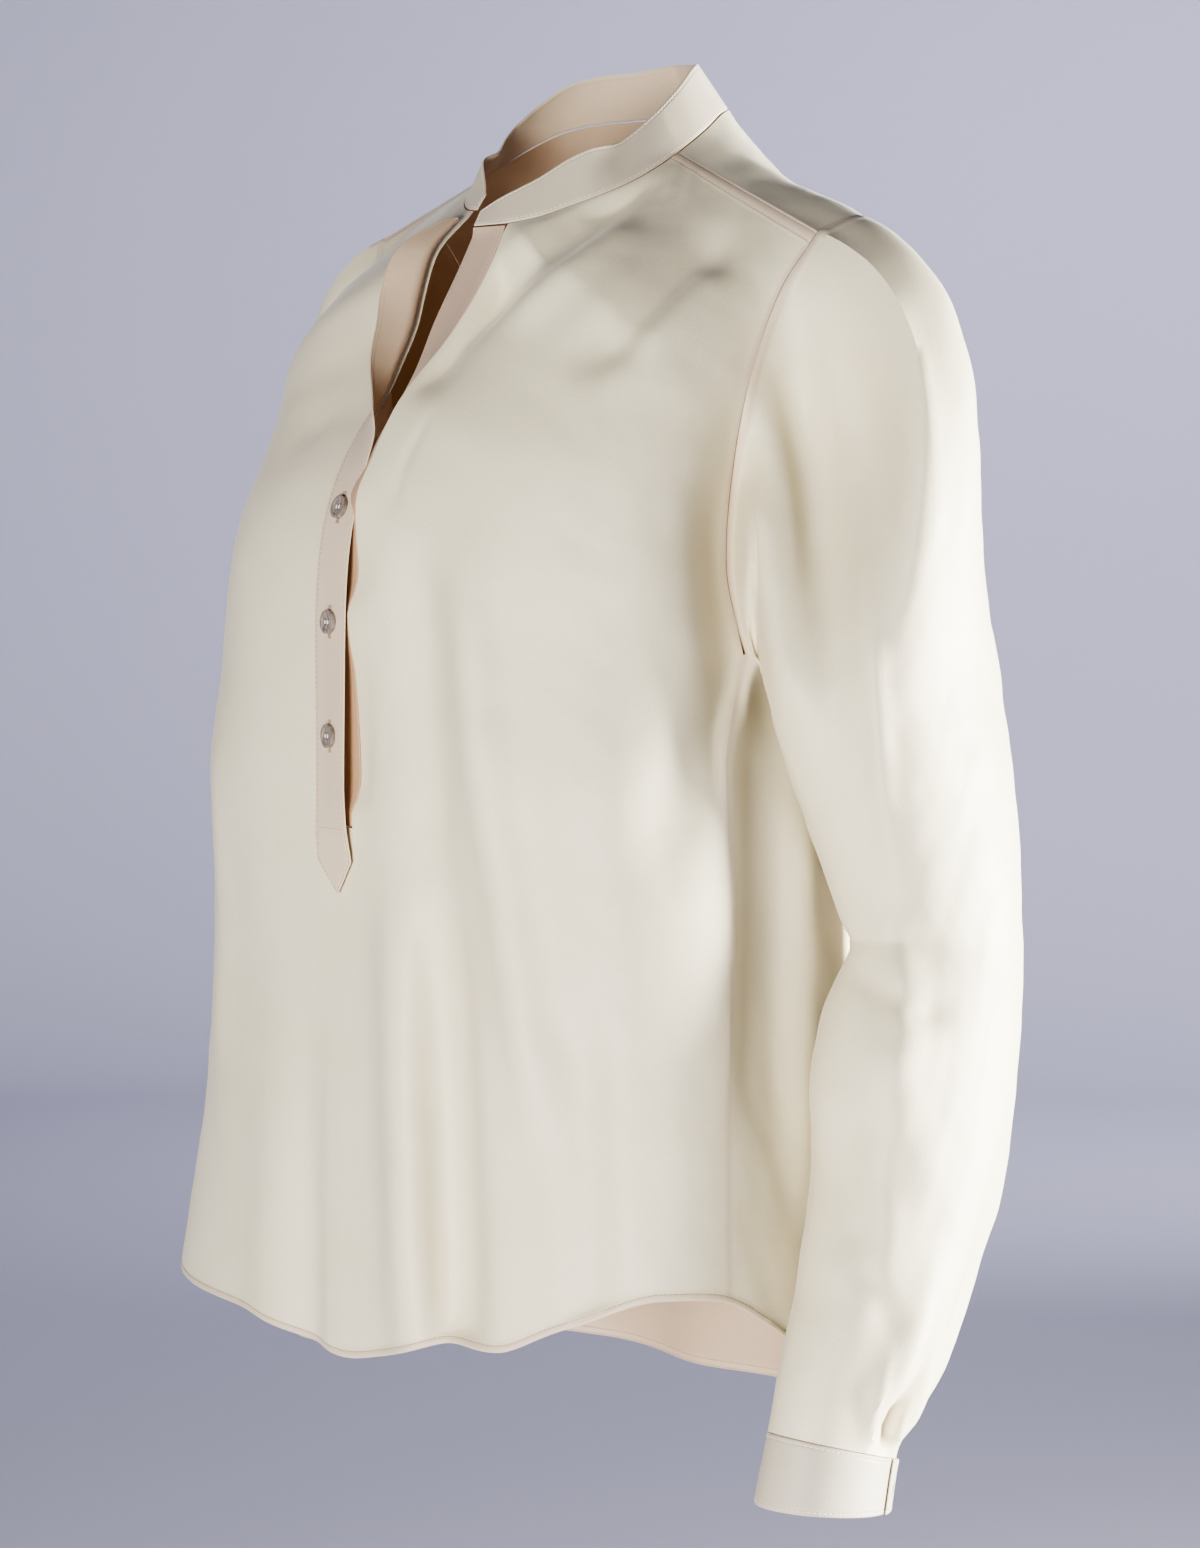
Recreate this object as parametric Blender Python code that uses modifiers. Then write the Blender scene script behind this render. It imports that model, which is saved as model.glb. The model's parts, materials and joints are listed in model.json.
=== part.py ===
"""A long-sleeved silk popover blouse with a band collar, held in its worn form.

Units are metres and +Z is up. The blouse faces -Y, so the wearer's left is +X. The origin lies midway
between the two high shoulder points, where the forward shoulder seams meet the collar. Each cut piece is
an open sheet of cloth, worked out from its sections, that Solidify gives its wall.
"""
import math

import bmesh
import bpy
import numpy as np
from mathutils import Matrix, Vector

# Walls and gaps. A sheet is the outer face of its piece, and the wall lies inside it.
CLOTH = 0.0012
BAND = 0.0016
SEAM_GAP = 0.0003

# How finely the sheets are cut up.
HALF_COLUMNS = 14
SLIT_COLUMNS = 2
SKIRT_ROWS = 10
CHEST_ROWS = 3
YOKE_ROWS = 12
EDGE_ROWS = 7
NECK_CORNER_ROW = SKIRT_ROWS + CHEST_ROWS + EDGE_ROWS
SLEEVE_COLUMNS = 24
CAP_ROWS = 7
ARM_ROWS = 17

# The body, section by section. The front and back depths are measured from the side seams.
SQUARENESS = 2.4
TORSO = (
    # height, half_width, side_y, front_depth, back_depth
    (-0.690, 0.215, -0.092, 0.090, 0.162),
    (-0.640, 0.213, -0.092, 0.088, 0.165),
    (-0.550, 0.207, -0.089, 0.091, 0.171),
    (-0.400, 0.200, -0.080, 0.099, 0.167),
    (-0.330, 0.195, -0.079, 0.106, 0.161),
    (-0.270, 0.185, -0.060, 0.121, 0.146),
)
UNDERARM_Z = TORSO[-1][0]

# The hem, round the body from the centre back past the wearer's right side to the centre back again.
HEM = (
    # angle_from_front, height
    (-180, -0.682),
    (-140, -0.675),
    (-112, -0.650),
    (-98, -0.624),
    (-88, -0.618),
    (-70, -0.630),
    (-45, -0.634),
    (-20, -0.642),
    (0, -0.645),
    (22, -0.639),
    (45, -0.626),
    (57, -0.624),
    (68, -0.608),
    (80, -0.592),
    (90, -0.596),
    (98, -0.612),
    (112, -0.645),
    (140, -0.675),
    (180, -0.682),
)

# Soft ridges (positive) and troughs (negative) that hang in the body.
BODY_FOLDS = (
    # angle_at_hem, angle_at_top, rise, half_width_deg, top_height, full_height
    (-50, -50, 0.004, 22, -0.20, -0.27),
    (-50, -50, -0.004, 22, -0.34, -0.46),
    (35, 22, 0.008, 9, -0.30, -0.55),
    (47, 34, -0.009, 7, -0.36, -0.55),
    (56, 44, 0.006, 6, -0.40, -0.60),
    (-76, -62, 0.016, 20, -0.50, -0.66),
    (-38, -30, 0.005, 10, -0.42, -0.62),
    (-20, -16, -0.005, 9, -0.40, -0.62),
    (118, 130, 0.010, 12, -0.34, -0.60),
    (136, 146, -0.009, 10, -0.32, -0.60),
    (156, 160, 0.008, 11, -0.30, -0.60),
    (176, 172, -0.008, 10, -0.28, -0.58),
    (-160, -164, 0.009, 11, -0.32, -0.60),
    (-140, -150, -0.008, 10, -0.34, -0.62),
    (-120, -132, 0.009, 12, -0.36, -0.60),
)

# The neckline seam round the neck's axis, from the front to the centre back.
NECK_Y = -0.007
NECKLINE = (
    # angle_from_front, left_radius, left_height, right_radius, right_height
    (0, 0.0890, -0.0445, 0.0660, -0.0330),
    (22, 0.0935, -0.0440, 0.0670, -0.0325),
    (45, 0.0860, -0.0340, 0.0700, -0.0280),
    (65, 0.0830, -0.0220, 0.0750, -0.0190),
    (87, 0.0800, -0.0045, 0.0800, -0.0045),
    (105, 0.0780, 0.0100, 0.0780, 0.0100),
    (125, 0.0765, 0.0215, 0.0765, 0.0215),
    (180, 0.0760, 0.0260, 0.0760, 0.0260),
)
NECK_POINT_ANGLE = 87
COLLAR_LEFT_END = 6
COLLAR_RIGHT_END = 19
COLLAR_HEIGHTS = (
    # distance_from_end, height
    (0.000, 0.011),
    (0.015, 0.019),
    (0.030, 0.025),
    (0.050, 0.030),
    (0.070, 0.031),
)
COLLAR_LEANS = (
    # angle_from_front, lean_inward_deg
    (0, 32),
    (25, 32),
    (48, 24),
    (66, 40),
    (90, 36),
    (125, 34),
    (145, 34),
    (180, 27),
)
COLLAR_COLUMNS = 38
COLLAR_ROWS = 3

# The armhole seam from the shoulder tip down the front and up the back. The underarm comes between.
ARMHOLE_FRONT = (
    # x, y, z
    (0.1850, -0.0090, -0.0520),
    (0.1740, -0.0260, -0.0840),
    (0.1690, -0.0420, -0.1300),
    (0.1690, -0.0560, -0.1800),
    (0.1740, -0.0640, -0.2250),
    (0.1820, -0.0630, -0.2560),
)
ARMHOLE_BACK = (
    (0.1830, -0.0300, -0.2600),
    (0.1720, 0.0100, -0.2320),
    (0.1640, 0.0380, -0.1850),
    (0.1660, 0.0530, -0.1300),
    (0.1770, 0.0490, -0.0800),
    (0.1860, 0.0260, -0.0440),
)

NAPE_DIP = 0.011
RIGHT_SHOULDER_RISE = 0.020
FRONT_FULLNESS = 0.5
BACK_FULLNESS = 0.15

# The centre back line between the underarm level and the nape.
SPINE = (
    # x, y, z
    (0, 0.096, -0.200),
    (0, 0.103, -0.130),
    (0, 0.094, -0.050),
)

# The two edges of the centre front slit. Above the bust they part into a V.
LEFT_EDGE = (
    # height, x, y
    (-0.270, 0.0150, -0.1808),
    (-0.222, 0.0150, -0.1822),
    (-0.184, 0.0140, -0.1784),
    (-0.168, 0.0170, -0.1690),
    (-0.150, 0.0200, -0.1640),
    (-0.138, 0.0215, -0.1580),
    (-0.118, 0.0265, -0.1390),
    (-0.077, 0.0330, -0.1100),
    (-0.044, 0.0350, -0.0940),
)
RIGHT_EDGE = (
    (-0.270, -0.0130, -0.1808),
    (-0.222, -0.0130, -0.1825),
    (-0.184, -0.0135, -0.1755),
    (-0.166, -0.0135, -0.1640),
    (-0.148, -0.0130, -0.1460),
    (-0.123, -0.0150, -0.1290),
    (-0.097, -0.0180, -0.1130),
    (-0.071, -0.0220, -0.1020),
    (-0.050, -0.0240, -0.0900),
    (-0.0325, -0.0240, -0.0695),
)
SLIT_HALF = 0.0138
SLIT_BOTTOM = -0.362

# The placket strips.
STRIP_WIDTH = 0.027
STRIP_LAP = 0.003
STRIP_LIFT = 0.0026
TOP_STRIP_TOP = -0.037
UNDER_STRIP_TOP = -0.049
STRIP_COLUMNS = 5
BOX_SHOULDER = -0.380
BOX_TIP = -0.397
BOX_POINT = 0.94
TURN_LENGTH = 0.4
EDGE_STEP = 0.006
UNDER_GAP = 0.0011
TOP_TURN = (
    # height, turned_out_deg, width
    (-0.380, 0, 0.030),
    (-0.340, 9, 0.030),
    (-0.220, 4, 0.029),
    (-0.190, 4, 0.028),
    (-0.172, 8, 0.027),
    (-0.155, 20, 0.027),
    (-0.140, 48, 0.026),
    (-0.120, 84, 0.026),
    (-0.100, 112, 0.026),
    (-0.075, 132, 0.027),
    (-0.056, 132, 0.025),
    (-0.046, 132, 0.018),
    (-0.036, 132, 0.008),
)
UNDER_FREE_EDGE = (
    # height, x, y
    (-0.362, -0.0120, -0.1765),
    (-0.270, -0.0110, -0.1755),
    (-0.190, -0.0110, -0.1700),
    (-0.165, -0.0090, -0.1540),
    (-0.148, -0.0060, -0.1420),
    (-0.124, 0.0010, -0.1310),
    (-0.094, 0.0050, -0.1190),
    (-0.066, 0.0080, -0.1050),
    (-0.049, 0.0095, -0.0970),
)
TOP_STRIP_ROWS = 26
UNDER_STRIP_ROWS = 16

# The sleeves, from the upper arm to the cuff.
LEFT_ARM = (
    # height, x, y, half_width, half_depth
    (-0.293, 0.2140, 0.0120, 0.0540, 0.0670),
    (-0.345, 0.2250, 0.0205, 0.0480, 0.0600),
    (-0.397, 0.2340, 0.0260, 0.0430, 0.0530),
    (-0.416, 0.2360, 0.0270, 0.0410, 0.0510),
    (-0.450, 0.2380, 0.0190, 0.0450, 0.0560),
    (-0.490, 0.2410, 0.0080, 0.0470, 0.0580),
    (-0.536, 0.2450, 0.0000, 0.0440, 0.0540),
    (-0.577, 0.2480, -0.0150, 0.0410, 0.0495),
    (-0.611, 0.2500, -0.0290, 0.0380, 0.0465),
    (-0.632, 0.2510, -0.0425, 0.0345, 0.0430),
    (-0.652, 0.2510, -0.0540, 0.0300, 0.0375),
    (-0.6655, 0.2510, -0.0580, 0.0293, 0.0362),
    (-0.6960, 0.2510, -0.0655, 0.0300, 0.0370),
)
RIGHT_ARM = (
    (-0.293, 0.2140, 0.0120, 0.0540, 0.0670),
    (-0.345, 0.2230, 0.0190, 0.0490, 0.0610),
    (-0.397, 0.2290, 0.0240, 0.0450, 0.0560),
    (-0.430, 0.2310, 0.0260, 0.0430, 0.0530),
    (-0.470, 0.2330, 0.0260, 0.0450, 0.0550),
    (-0.536, 0.2370, 0.0240, 0.0440, 0.0540),
    (-0.595, 0.2400, 0.0190, 0.0420, 0.0510),
    (-0.632, 0.2420, 0.0150, 0.0390, 0.0480),
    (-0.652, 0.2430, 0.0130, 0.0330, 0.0410),
    (-0.6655, 0.2435, 0.0115, 0.0293, 0.0362),
    (-0.6960, 0.2445, 0.0080, 0.0300, 0.0370),
)
CUFF_TOP = -0.6655
CUFF_ROWS = 2
SHOULDER_OFFSET = 8
UNDERARM_SHIFT = 53
SHIFT_SPREAD = 60
SHIFT_END = -0.45
SLEEVE_CLEARANCE = 0.0025
CAP_CLEARANCE = 0.012
SLEEVE_SOFTNESS = 0.006
UNDERARM_FALL = (0.45, 0, -0.9)
FRONT_FALL = (0.80, 0.50, -0.35)
BACK_FALL = (0.75, 0.35, -0.55)
CAP_LIFT = 0.15
CAP_FALL = 0.9
CAP_ROUND = (
    # degrees_from_top, length_of_start
    (0, 1.4),
    (35, 1.5),
    (70, 1.25),
    (105, 0.8),
    (180, 0.6),
)
ARM_STEP = 0.015
CUFF_START = 292
CUFF_LAP = 38
CUFF_COLUMNS = 28
SLEEVE_FOLDS = (
    # angle_top, angle_low, rise, half_width_deg, top_height, full_height, end_height
    (62, 70, -0.006, 22, -0.10, -0.24, -0.42),
    (20, 40, 0.004, 20, -0.16, -0.30, -0.46),
    (160, 120, -0.006, 24, -0.36, -0.415, -0.47),
    (60, 30, 0.005, 24, -0.44, -0.50, -0.58),
    (330, 320, -0.005, 16, -0.50, -0.60, -0.665),
    (10, 5, 0.006, 14, -0.56, -0.63, -0.665),
    (352, 350, -0.006, 9, -0.58, -0.645, -0.665),
    (332, 330, 0.005, 10, -0.60, -0.64, -0.665),
)

BUTTON_HEIGHTS = (-0.194, -0.254, -0.314)
BUTTON_RADIUS = 0.00625
BUTTON_THICKNESS = 0.0022
BUTTON_SIDES = 18
THREAD_HOLE_RADIUS = 0.0008
THREAD_HOLE_SPREAD = 0.0013

SILK = (0.80, 0.76, 0.70, 1.0)
SHELL = (0.62, 0.60, 0.55, 1.0)


# Curves and tables ------------------------------------------------------------------------------------

def read(table, key):
    """Every other column of a table at a key, on smooth curves through its rows."""
    rows = np.array(sorted(table), float)
    knots, values = rows[:, 0], rows[:, 1:]
    spans = np.diff(knots)[:, None]
    slopes = np.diff(values, axis=0) / spans
    inner = np.where(slopes[:-1] * slopes[1:] > 0, (slopes[:-1] + slopes[1:]) / 2, 0)
    inner = np.clip(inner, -3 * np.minimum(abs(slopes[:-1]), abs(slopes[1:])),
                    3 * np.minimum(abs(slopes[:-1]), abs(slopes[1:])))
    tangents = np.vstack([slopes[:1], inner, slopes[-1:]])
    key = float(np.clip(key, knots[0], knots[-1]))
    row = min(int(np.searchsorted(knots, key, side="right")) - 1, len(spans) - 1)
    width = spans[row, 0]
    t = (key - knots[row]) / width
    ease = t * t * (3 - 2 * t)
    return (values[row] * (1 - ease) + values[row + 1] * ease
            + tangents[row] * width * t * (1 - t) ** 2 - tangents[row + 1] * width * t * t * (1 - t))


def ease(start, end, value):
    """0 at start, 1 at end and a soft S between."""
    t = min(max((value - start) / (end - start), 0), 1)
    return t * t * (3 - 2 * t)


def bump(distance, half_width):
    """A soft bell of height 1."""
    return math.exp(-(distance / half_width) ** 2)


def arc_samples(points, count, steps=12):
    """Evenly spaced points on a smooth open curve through the given ones."""
    points = np.array(points, float)
    before = 2 * points[0] - points[1]
    after = 2 * points[-1] - points[-2]
    held = np.vstack([before, points, after])
    fine = [points[0]]
    for k in range(1, len(held) - 2):
        a, b, c, d = held[k - 1:k + 3]
        for step in range(1, steps + 1):
            t = step / steps
            fine.append(0.5 * (2 * b + (c - a) * t + (2 * a - 5 * b + 4 * c - d) * t * t
                               + (3 * b - a - 3 * c + d) * t ** 3))
    fine = np.array(fine)
    lengths = np.concatenate([[0], np.cumsum(np.linalg.norm(np.diff(fine, axis=0), axis=1))])
    wanted = np.linspace(0, lengths[-1], count)
    return np.column_stack([np.interp(wanted, lengths, fine[:, axis]) for axis in range(3)])


# The body's form --------------------------------------------------------------------------------------

def fold_height(angle, height):
    """How far the body's cloth stands out in folds."""
    total = 0.0
    for low, top, rise, width, top_z, full_z in BODY_FOLDS:
        middle = low + (top - low) * ease(-0.64, -0.30, height)
        apart = (angle - middle + 180) % 360 - 180
        total += rise * bump(apart, width) * ease(top_z, full_z, height)
    return total


def body_point(angle, height):
    """A point of the body's outer face, at an angle from the centre front."""
    half_width, side_y, front, back = read(TORSO, height)
    turn = math.radians(angle)
    depth = front if abs(angle) <= 90 else back
    radius = (abs(math.sin(turn) / half_width) ** SQUARENESS
              + abs(math.cos(turn) / depth) ** SQUARENESS) ** (-1 / SQUARENESS)
    radius += fold_height(angle, height)
    return np.array([radius * math.sin(turn), side_y - radius * math.cos(turn), height])


def neck_point(angle):
    """A point of the neckline seam."""
    row = read(NECKLINE, abs(angle))
    radius, height = row[:2] if angle > 0 else row[2:]
    turn = math.radians(angle)
    return np.array([radius * math.sin(turn), NECK_Y - radius * math.cos(turn), height])


def armhole(part, side):
    """The front or back armhole from the underarm up to the shoulder tip, with side 1 for the left."""
    underarm = body_point(90 * side, UNDERARM_Z) * (side, 1, 1)
    if part == "front":
        points = [underarm, *ARMHOLE_FRONT[::-1]]
    else:
        points = [underarm, *ARMHOLE_BACK, ARMHOLE_FRONT[0]]
    points = np.array(points) * (side, 1, 1)
    if side < 0:
        points[:, 2] += RIGHT_SHOULDER_RISE * np.clip((points[:, 2] - UNDERARM_Z) / -UNDERARM_Z, 0, 1)
    return points


def yoke(centre, side, bottom, fullness, dip=0.0):
    """Rows from the underarm level up to the shoulder seam, between a centre line and an armhole.

    The body's roundness stays whole over the given share of the way up.
    """
    along = np.concatenate([[0], np.cumsum(np.linalg.norm(np.diff(bottom, axis=0), axis=1))])
    along = (along / along[-1])[:, None]
    bulge = bottom - (bottom[0] * (1 - along) + bottom[-1] * along)
    rows = []
    for k in range(1, YOKE_ROWS + 1):
        share = k / YOKE_ROWS
        row = centre[k] * (1 - along) + side[k] * along + bulge * (1 - ease(fullness, 1, share))
        row[:, 2] -= (dip * 9.5 * share ** 3 * (1 - share) * 6.75 * along * (1 - along) ** 2)[:, 0]
        rows.append(row)
    return np.array(rows)


def trim(grid, edge, distance):
    """Draws one edge of a grid back along the cloth."""
    outer, inner = {"top": (np.s_[-1], np.s_[-2]), "bottom": (np.s_[0], np.s_[1]),
                    "left": (np.s_[:, 0], np.s_[:, 1]), "right": (np.s_[:, -1], np.s_[:, -2])}[edge]
    step = grid[inner] - grid[outer]
    grid[outer] = grid[outer] + step / np.linalg.norm(step, axis=-1, keepdims=True) * distance
    return grid


def skirt_column(angle):
    """A column of body points from the hem up to the underarm level."""
    hem = read(HEM, angle)[0]
    low = np.linspace(hem, SLIT_BOTTOM, SKIRT_ROWS + 1)
    high = np.linspace(SLIT_BOTTOM, UNDERARM_Z, CHEST_ROWS + 1)[1:]
    return [body_point(angle, height) for height in (*low, *high)]


def slit_edge(height, side):
    """A point of the slit's edge."""
    x, y = read(LEFT_EDGE if side > 0 else RIGHT_EDGE, height)
    return np.array([x, y, height])


def edge_at(front, height):
    """The point at a height on the straight runs between a front half's own points down the slit."""
    x, y, z = front[:NECK_CORNER_ROW + 1, 0].T
    return np.array([np.interp(height, z, x), np.interp(height, z, y), height])


def neck_at(front, back, angle):
    """The same on the neckline seam at an angle, with the curve's own points before the slit."""
    line = np.vstack([front[NECK_CORNER_ROW:, 0], back[:NECK_CORNER_ROW - 1:-1, 0]])
    angles = np.degrees(np.arctan2(abs(line[:, 0]), NECK_Y - line[:, 1]))
    if abs(angle) < angles[0]:
        return neck_point(angle)
    return np.array([np.interp(abs(angle), angles, line[:, axis]) for axis in range(3)])


def slit_angle():
    """The angle from the centre front to the slit's edge."""
    return math.degrees(math.atan(SLIT_HALF / TORSO[-2][3]))


def front_half(side):
    """Half of the front, from the slit's edge out to the side seam and up to the shoulder."""
    angles = np.linspace(slit_angle(), 90, HALF_COLUMNS + 1) * side
    skirt = np.array([skirt_column(angle) for angle in angles]).transpose(1, 0, 2)
    near_slit = np.linspace(1, 0, HALF_COLUMNS + 1)[:, None] ** 3
    for row in skirt[SKIRT_ROWS + 1:]:
        row += (slit_edge(row[0, 2], side) - row[0]) * near_slit
    heights = np.linspace(UNDERARM_Z, (LEFT_EDGE if side > 0 else RIGHT_EDGE)[-1][0], 12)
    opening = [slit_edge(height, side) for height in heights]
    corner = math.degrees(math.atan2(abs(opening[-1][0]), NECK_Y - opening[-1][1]))
    neck = [neck_point(angle * side) for angle in np.linspace(corner, NECK_POINT_ANGLE, 7)]
    neck[0] = opening[-1]
    centre = np.vstack([arc_samples(opening, EDGE_ROWS + 1),
                        arc_samples(neck, YOKE_ROWS - EDGE_ROWS + 1)[1:]])
    sides = arc_samples(armhole("front", side), YOKE_ROWS + 1)
    return np.concatenate([skirt, yoke(centre, sides, skirt[-1], FRONT_FULLNESS)])


def back_half(side):
    """Half of the back, from the spine out to the side seam and over the shoulder to the front seam."""
    angles = np.linspace(180, 90, HALF_COLUMNS + 1) * side
    skirt = np.array([skirt_column(angle) for angle in angles]).transpose(1, 0, 2)
    spine = [skirt[-1][0], *map(np.array, SPINE), neck_point(180)]
    neck = [neck_point(angle * side) for angle in np.linspace(180, NECK_POINT_ANGLE, 7)]
    centre = np.vstack([arc_samples(spine, EDGE_ROWS + 1),
                        arc_samples(neck, YOKE_ROWS - EDGE_ROWS + 1)[1:]])
    sides = arc_samples(armhole("back", side), YOKE_ROWS + 1)
    return np.concatenate([skirt, yoke(centre, sides, skirt[-1], BACK_FULLNESS, NAPE_DIP)])


def part_body_halves(front, back):
    """Leaves the seam gap between two body panels, and more at the shoulder where their walls would meet."""
    into_front = front[-2] - front[-1]
    into_back = back[-2] - back[-1]
    straight = -(into_front * into_back).sum(axis=1)
    straight /= np.linalg.norm(into_front, axis=1) * np.linalg.norm(into_back, axis=1)
    drawn = SEAM_GAP / 2 + CLOTH * np.tan(np.arccos(np.clip(straight, 0, 1)) / 2)
    for half in (front, back):
        trim(half, "right", SEAM_GAP / 2)
        trim(half, "top", drawn[:, None])


# The sleeves and cuffs --------------------------------------------------------------------------------

def arm_point(arm, height, side, degrees, lift=0.0):
    """A point round a sleeve or cuff, square to the arm. 0 is the outer side and 90 the front."""
    x, y, half_width, half_depth = read(arm, height)
    above, below = read(arm, height + ARM_STEP), read(arm, height - ARM_STEP)
    down = Vector((below[0] - above[0], below[1] - above[1], -2 * ARM_STEP)).normalized()
    out = (Vector((1, 0, 0)) - down * down.x).normalized()
    fore = down.cross(out)
    turn = math.radians(degrees)
    reach = 1 + (sleeve_fold(degrees, height) + lift) / half_width
    point = Vector((x, y, height)) + (out * half_width * math.cos(turn)
                                      + fore * half_depth * math.sin(turn)) * reach
    return np.array([point.x * side, point.y, point.z])


def clear_of_body(point, clearance=SLEEVE_CLEARANCE):
    """A sleeve point, moved straight out of the body where it would press into it."""
    side_y = read(TORSO, point[2])[1]
    away = point[:2] - (0, side_y)
    reach = np.linalg.norm(away)
    body = body_point(math.degrees(math.atan2(point[0], side_y - point[1])), point[2])
    spare = reach - np.linalg.norm(body[:2] - (0, side_y)) - clearance
    if spare < SLEEVE_SOFTNESS:
        away *= 1 + (SLEEVE_SOFTNESS * math.exp(spare / SLEEVE_SOFTNESS - 1) - spare) / reach
    return np.array([*(away + (0, side_y)), point[2]])


def arm_ring(arm, height, side):
    """A whole round of a sleeve. High up, its underarm point is turned forward to the body's side seam."""
    shift = UNDERARM_SHIFT * ease(SHIFT_END, arm[0][0], height)
    degrees = [360 * k / SLEEVE_COLUMNS + SHOULDER_OFFSET for k in range(SLEEVE_COLUMNS)]
    degrees = [degree - shift * bump(degree - 180, SHIFT_SPREAD) for degree in degrees]
    return np.array([clear_of_body(arm_point(arm, height, side, degree)) for degree in degrees])


def sleeve_fold(angle, height):
    """How far the sleeve's cloth stands out in folds."""
    total = 0.0
    for top, low, rise, width, top_z, full_z, end_z in SLEEVE_FOLDS:
        middle = top + ((low - top + 180) % 360 - 180) * ease(top_z, end_z, height)
        apart = (angle - middle + 180) % 360 - 180
        total += rise * bump(apart, width) * ease(top_z, full_z, height) * ease(end_z, full_z, height)
    return total


def sleeve_grid(side, arm, front, back):
    """A sleeve from the armhole seam to the cuff seam, closed all round."""
    low = SKIRT_ROWS + CHEST_ROWS
    seam, inner = (np.concatenate([front[:low - 1:-1, column], back[low + 1:-1, column]])
                   for column in (-1, -2))
    first = arm_ring(arm, arm[0][0], side)
    second = arm_ring(arm, arm[0][0] - 0.01, side)
    across = seam - inner
    across /= np.linalg.norm(across, axis=1, keepdims=True)
    under = np.array(UNDERARM_FALL) * (side, 1, 1)
    rows = []
    for k in range(CAP_ROWS):
        t = k / CAP_ROWS
        row = []
        for j in range(SLEEVE_COLUMNS):
            from_top = abs((360 * j / SLEEVE_COLUMNS + 180) % 360 - 180)
            drape = np.array(FRONT_FALL if j < SLEEVE_COLUMNS // 2 else BACK_FALL) * (side, 1, 1)
            start = across[j] + (drape - across[j]) * ease(50, 110, from_top)
            start += (under - start) * ease(150, 170, from_top)
            chord = np.linalg.norm(first[j] - seam[j])
            end = (second[j] - first[j]) / np.linalg.norm(second[j] - first[j])
            start[2] += CAP_LIFT * ease(80, 0, from_top)
            rise = start / np.linalg.norm(start) * chord * read(CAP_ROUND, from_top)[0]
            fall = end * chord * CAP_FALL
            s = t * t * (3 - 2 * t)
            point = seam[j] * (1 - s) + first[j] * s + rise * t * (1 - t) ** 2 - fall * t * t * (1 - t)
            if k:
                spare = ease(SLEEVE_COLUMNS / 2 - 2, SLEEVE_COLUMNS / 2 + 2, j) * (1 - t)
                clearance = SLEEVE_CLEARANCE + (CAP_CLEARANCE - SLEEVE_CLEARANCE) * spare
                point = point + (clear_of_body(point, clearance) - point) * ease(100, 140, from_top)
            row.append(point)
        rows.append(row)
    into = np.array(rows[1]) - seam
    from_top = abs((360 * np.arange(SLEEVE_COLUMNS) / SLEEVE_COLUMNS + 180) % 360 - 180)
    drawn = SEAM_GAP + CLOTH * np.clip((from_top - 60) / 60, 0, 1)
    rows[0] = seam + into / np.linalg.norm(into, axis=1, keepdims=True) * drawn[:, None]
    heights = np.linspace(arm[0][0], CUFF_TOP, ARM_ROWS + 1)
    return np.array(rows + [arm_ring(arm, height, side) for height in heights])


def cuff_grid(side, arm):
    """A cuff, open at the back of the wrist, with its end lapped outside."""
    rows = []
    for height in np.linspace(arm[-1][0], CUFF_TOP - SEAM_GAP, CUFF_ROWS + 1):
        row = []
        for k in range(CUFF_COLUMNS + 1):
            swept = (360 + CUFF_LAP) * k / CUFF_COLUMNS
            lift = (BAND + 2 * SEAM_GAP) * ease(355 - CUFF_LAP, 355, swept)
            row.append(arm_point(arm, height, side, CUFF_START + swept, lift))
        rows.append(row)
    return np.array(rows)


# The collar and plackets ------------------------------------------------------------------------------

def collar_grid(seams):
    """The collar band from its left end round the nape to its right end."""
    angles = np.concatenate([np.linspace(COLLAR_LEFT_END, 180, COLLAR_COLUMNS // 2 + 1),
                             np.linspace(-180, -COLLAR_RIGHT_END, COLLAR_COLUMNS // 2 + 1)[1:]])
    seam = np.array([neck_at(*seams[1 if angle > 0 else -1], angle) for angle in angles])
    steps = np.linalg.norm(np.diff(seam, axis=0), axis=1)
    along = np.concatenate([[0], np.cumsum(steps)])
    from_end = np.minimum(along, along[-1] - along)
    rows = []
    for k in range(COLLAR_ROWS + 1):
        row = []
        for point, angle, distance in zip(seam, angles, from_end):
            lean = math.radians(read(COLLAR_LEANS, abs(angle))[0])
            inward = np.array([-math.sin(math.radians(angle)), math.cos(math.radians(angle)), 0])
            rise = np.array([0, 0, 1]) * math.cos(lean) + inward * math.sin(lean)
            foot = SEAM_GAP + CLOTH * math.sin(lean)
            up = foot + (read(COLLAR_HEIGHTS, distance)[0] - foot) * k / COLLAR_ROWS
            row.append(point + rise * up)
        rows.append(row)
    return np.array(rows)


def top_strip_row(front, height):
    """A row across the top placket strip, from its lap on the right front to its free edge."""
    turned, width = read(TOP_TURN, height)
    seam = edge_at(front, height)
    slope = (edge_at(front, height + EDGE_STEP)[1] - edge_at(front, height - EDGE_STEP)[1]) / (2 * EDGE_STEP)
    lift = STRIP_LIFT * math.hypot(1, slope)
    narrow = 1 - max(0, (BOX_SHOULDER - height) / (BOX_SHOULDER - BOX_TIP)) * BOX_POINT
    middle = (width - STRIP_LAP) / 2
    step = width / (STRIP_COLUMNS - 1)
    x, y = -STRIP_LAP, 0.0
    row = []
    for k in range(STRIP_COLUMNS):
        row.append(seam + np.array([middle + (x - middle) * narrow, y - lift, 0]))
        heading = math.radians(turned * min(1, (k + 0.5) / (STRIP_COLUMNS - 1) / TURN_LENGTH))
        x += step * math.cos(heading)
        y -= step * math.sin(heading)
    return row


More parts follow.
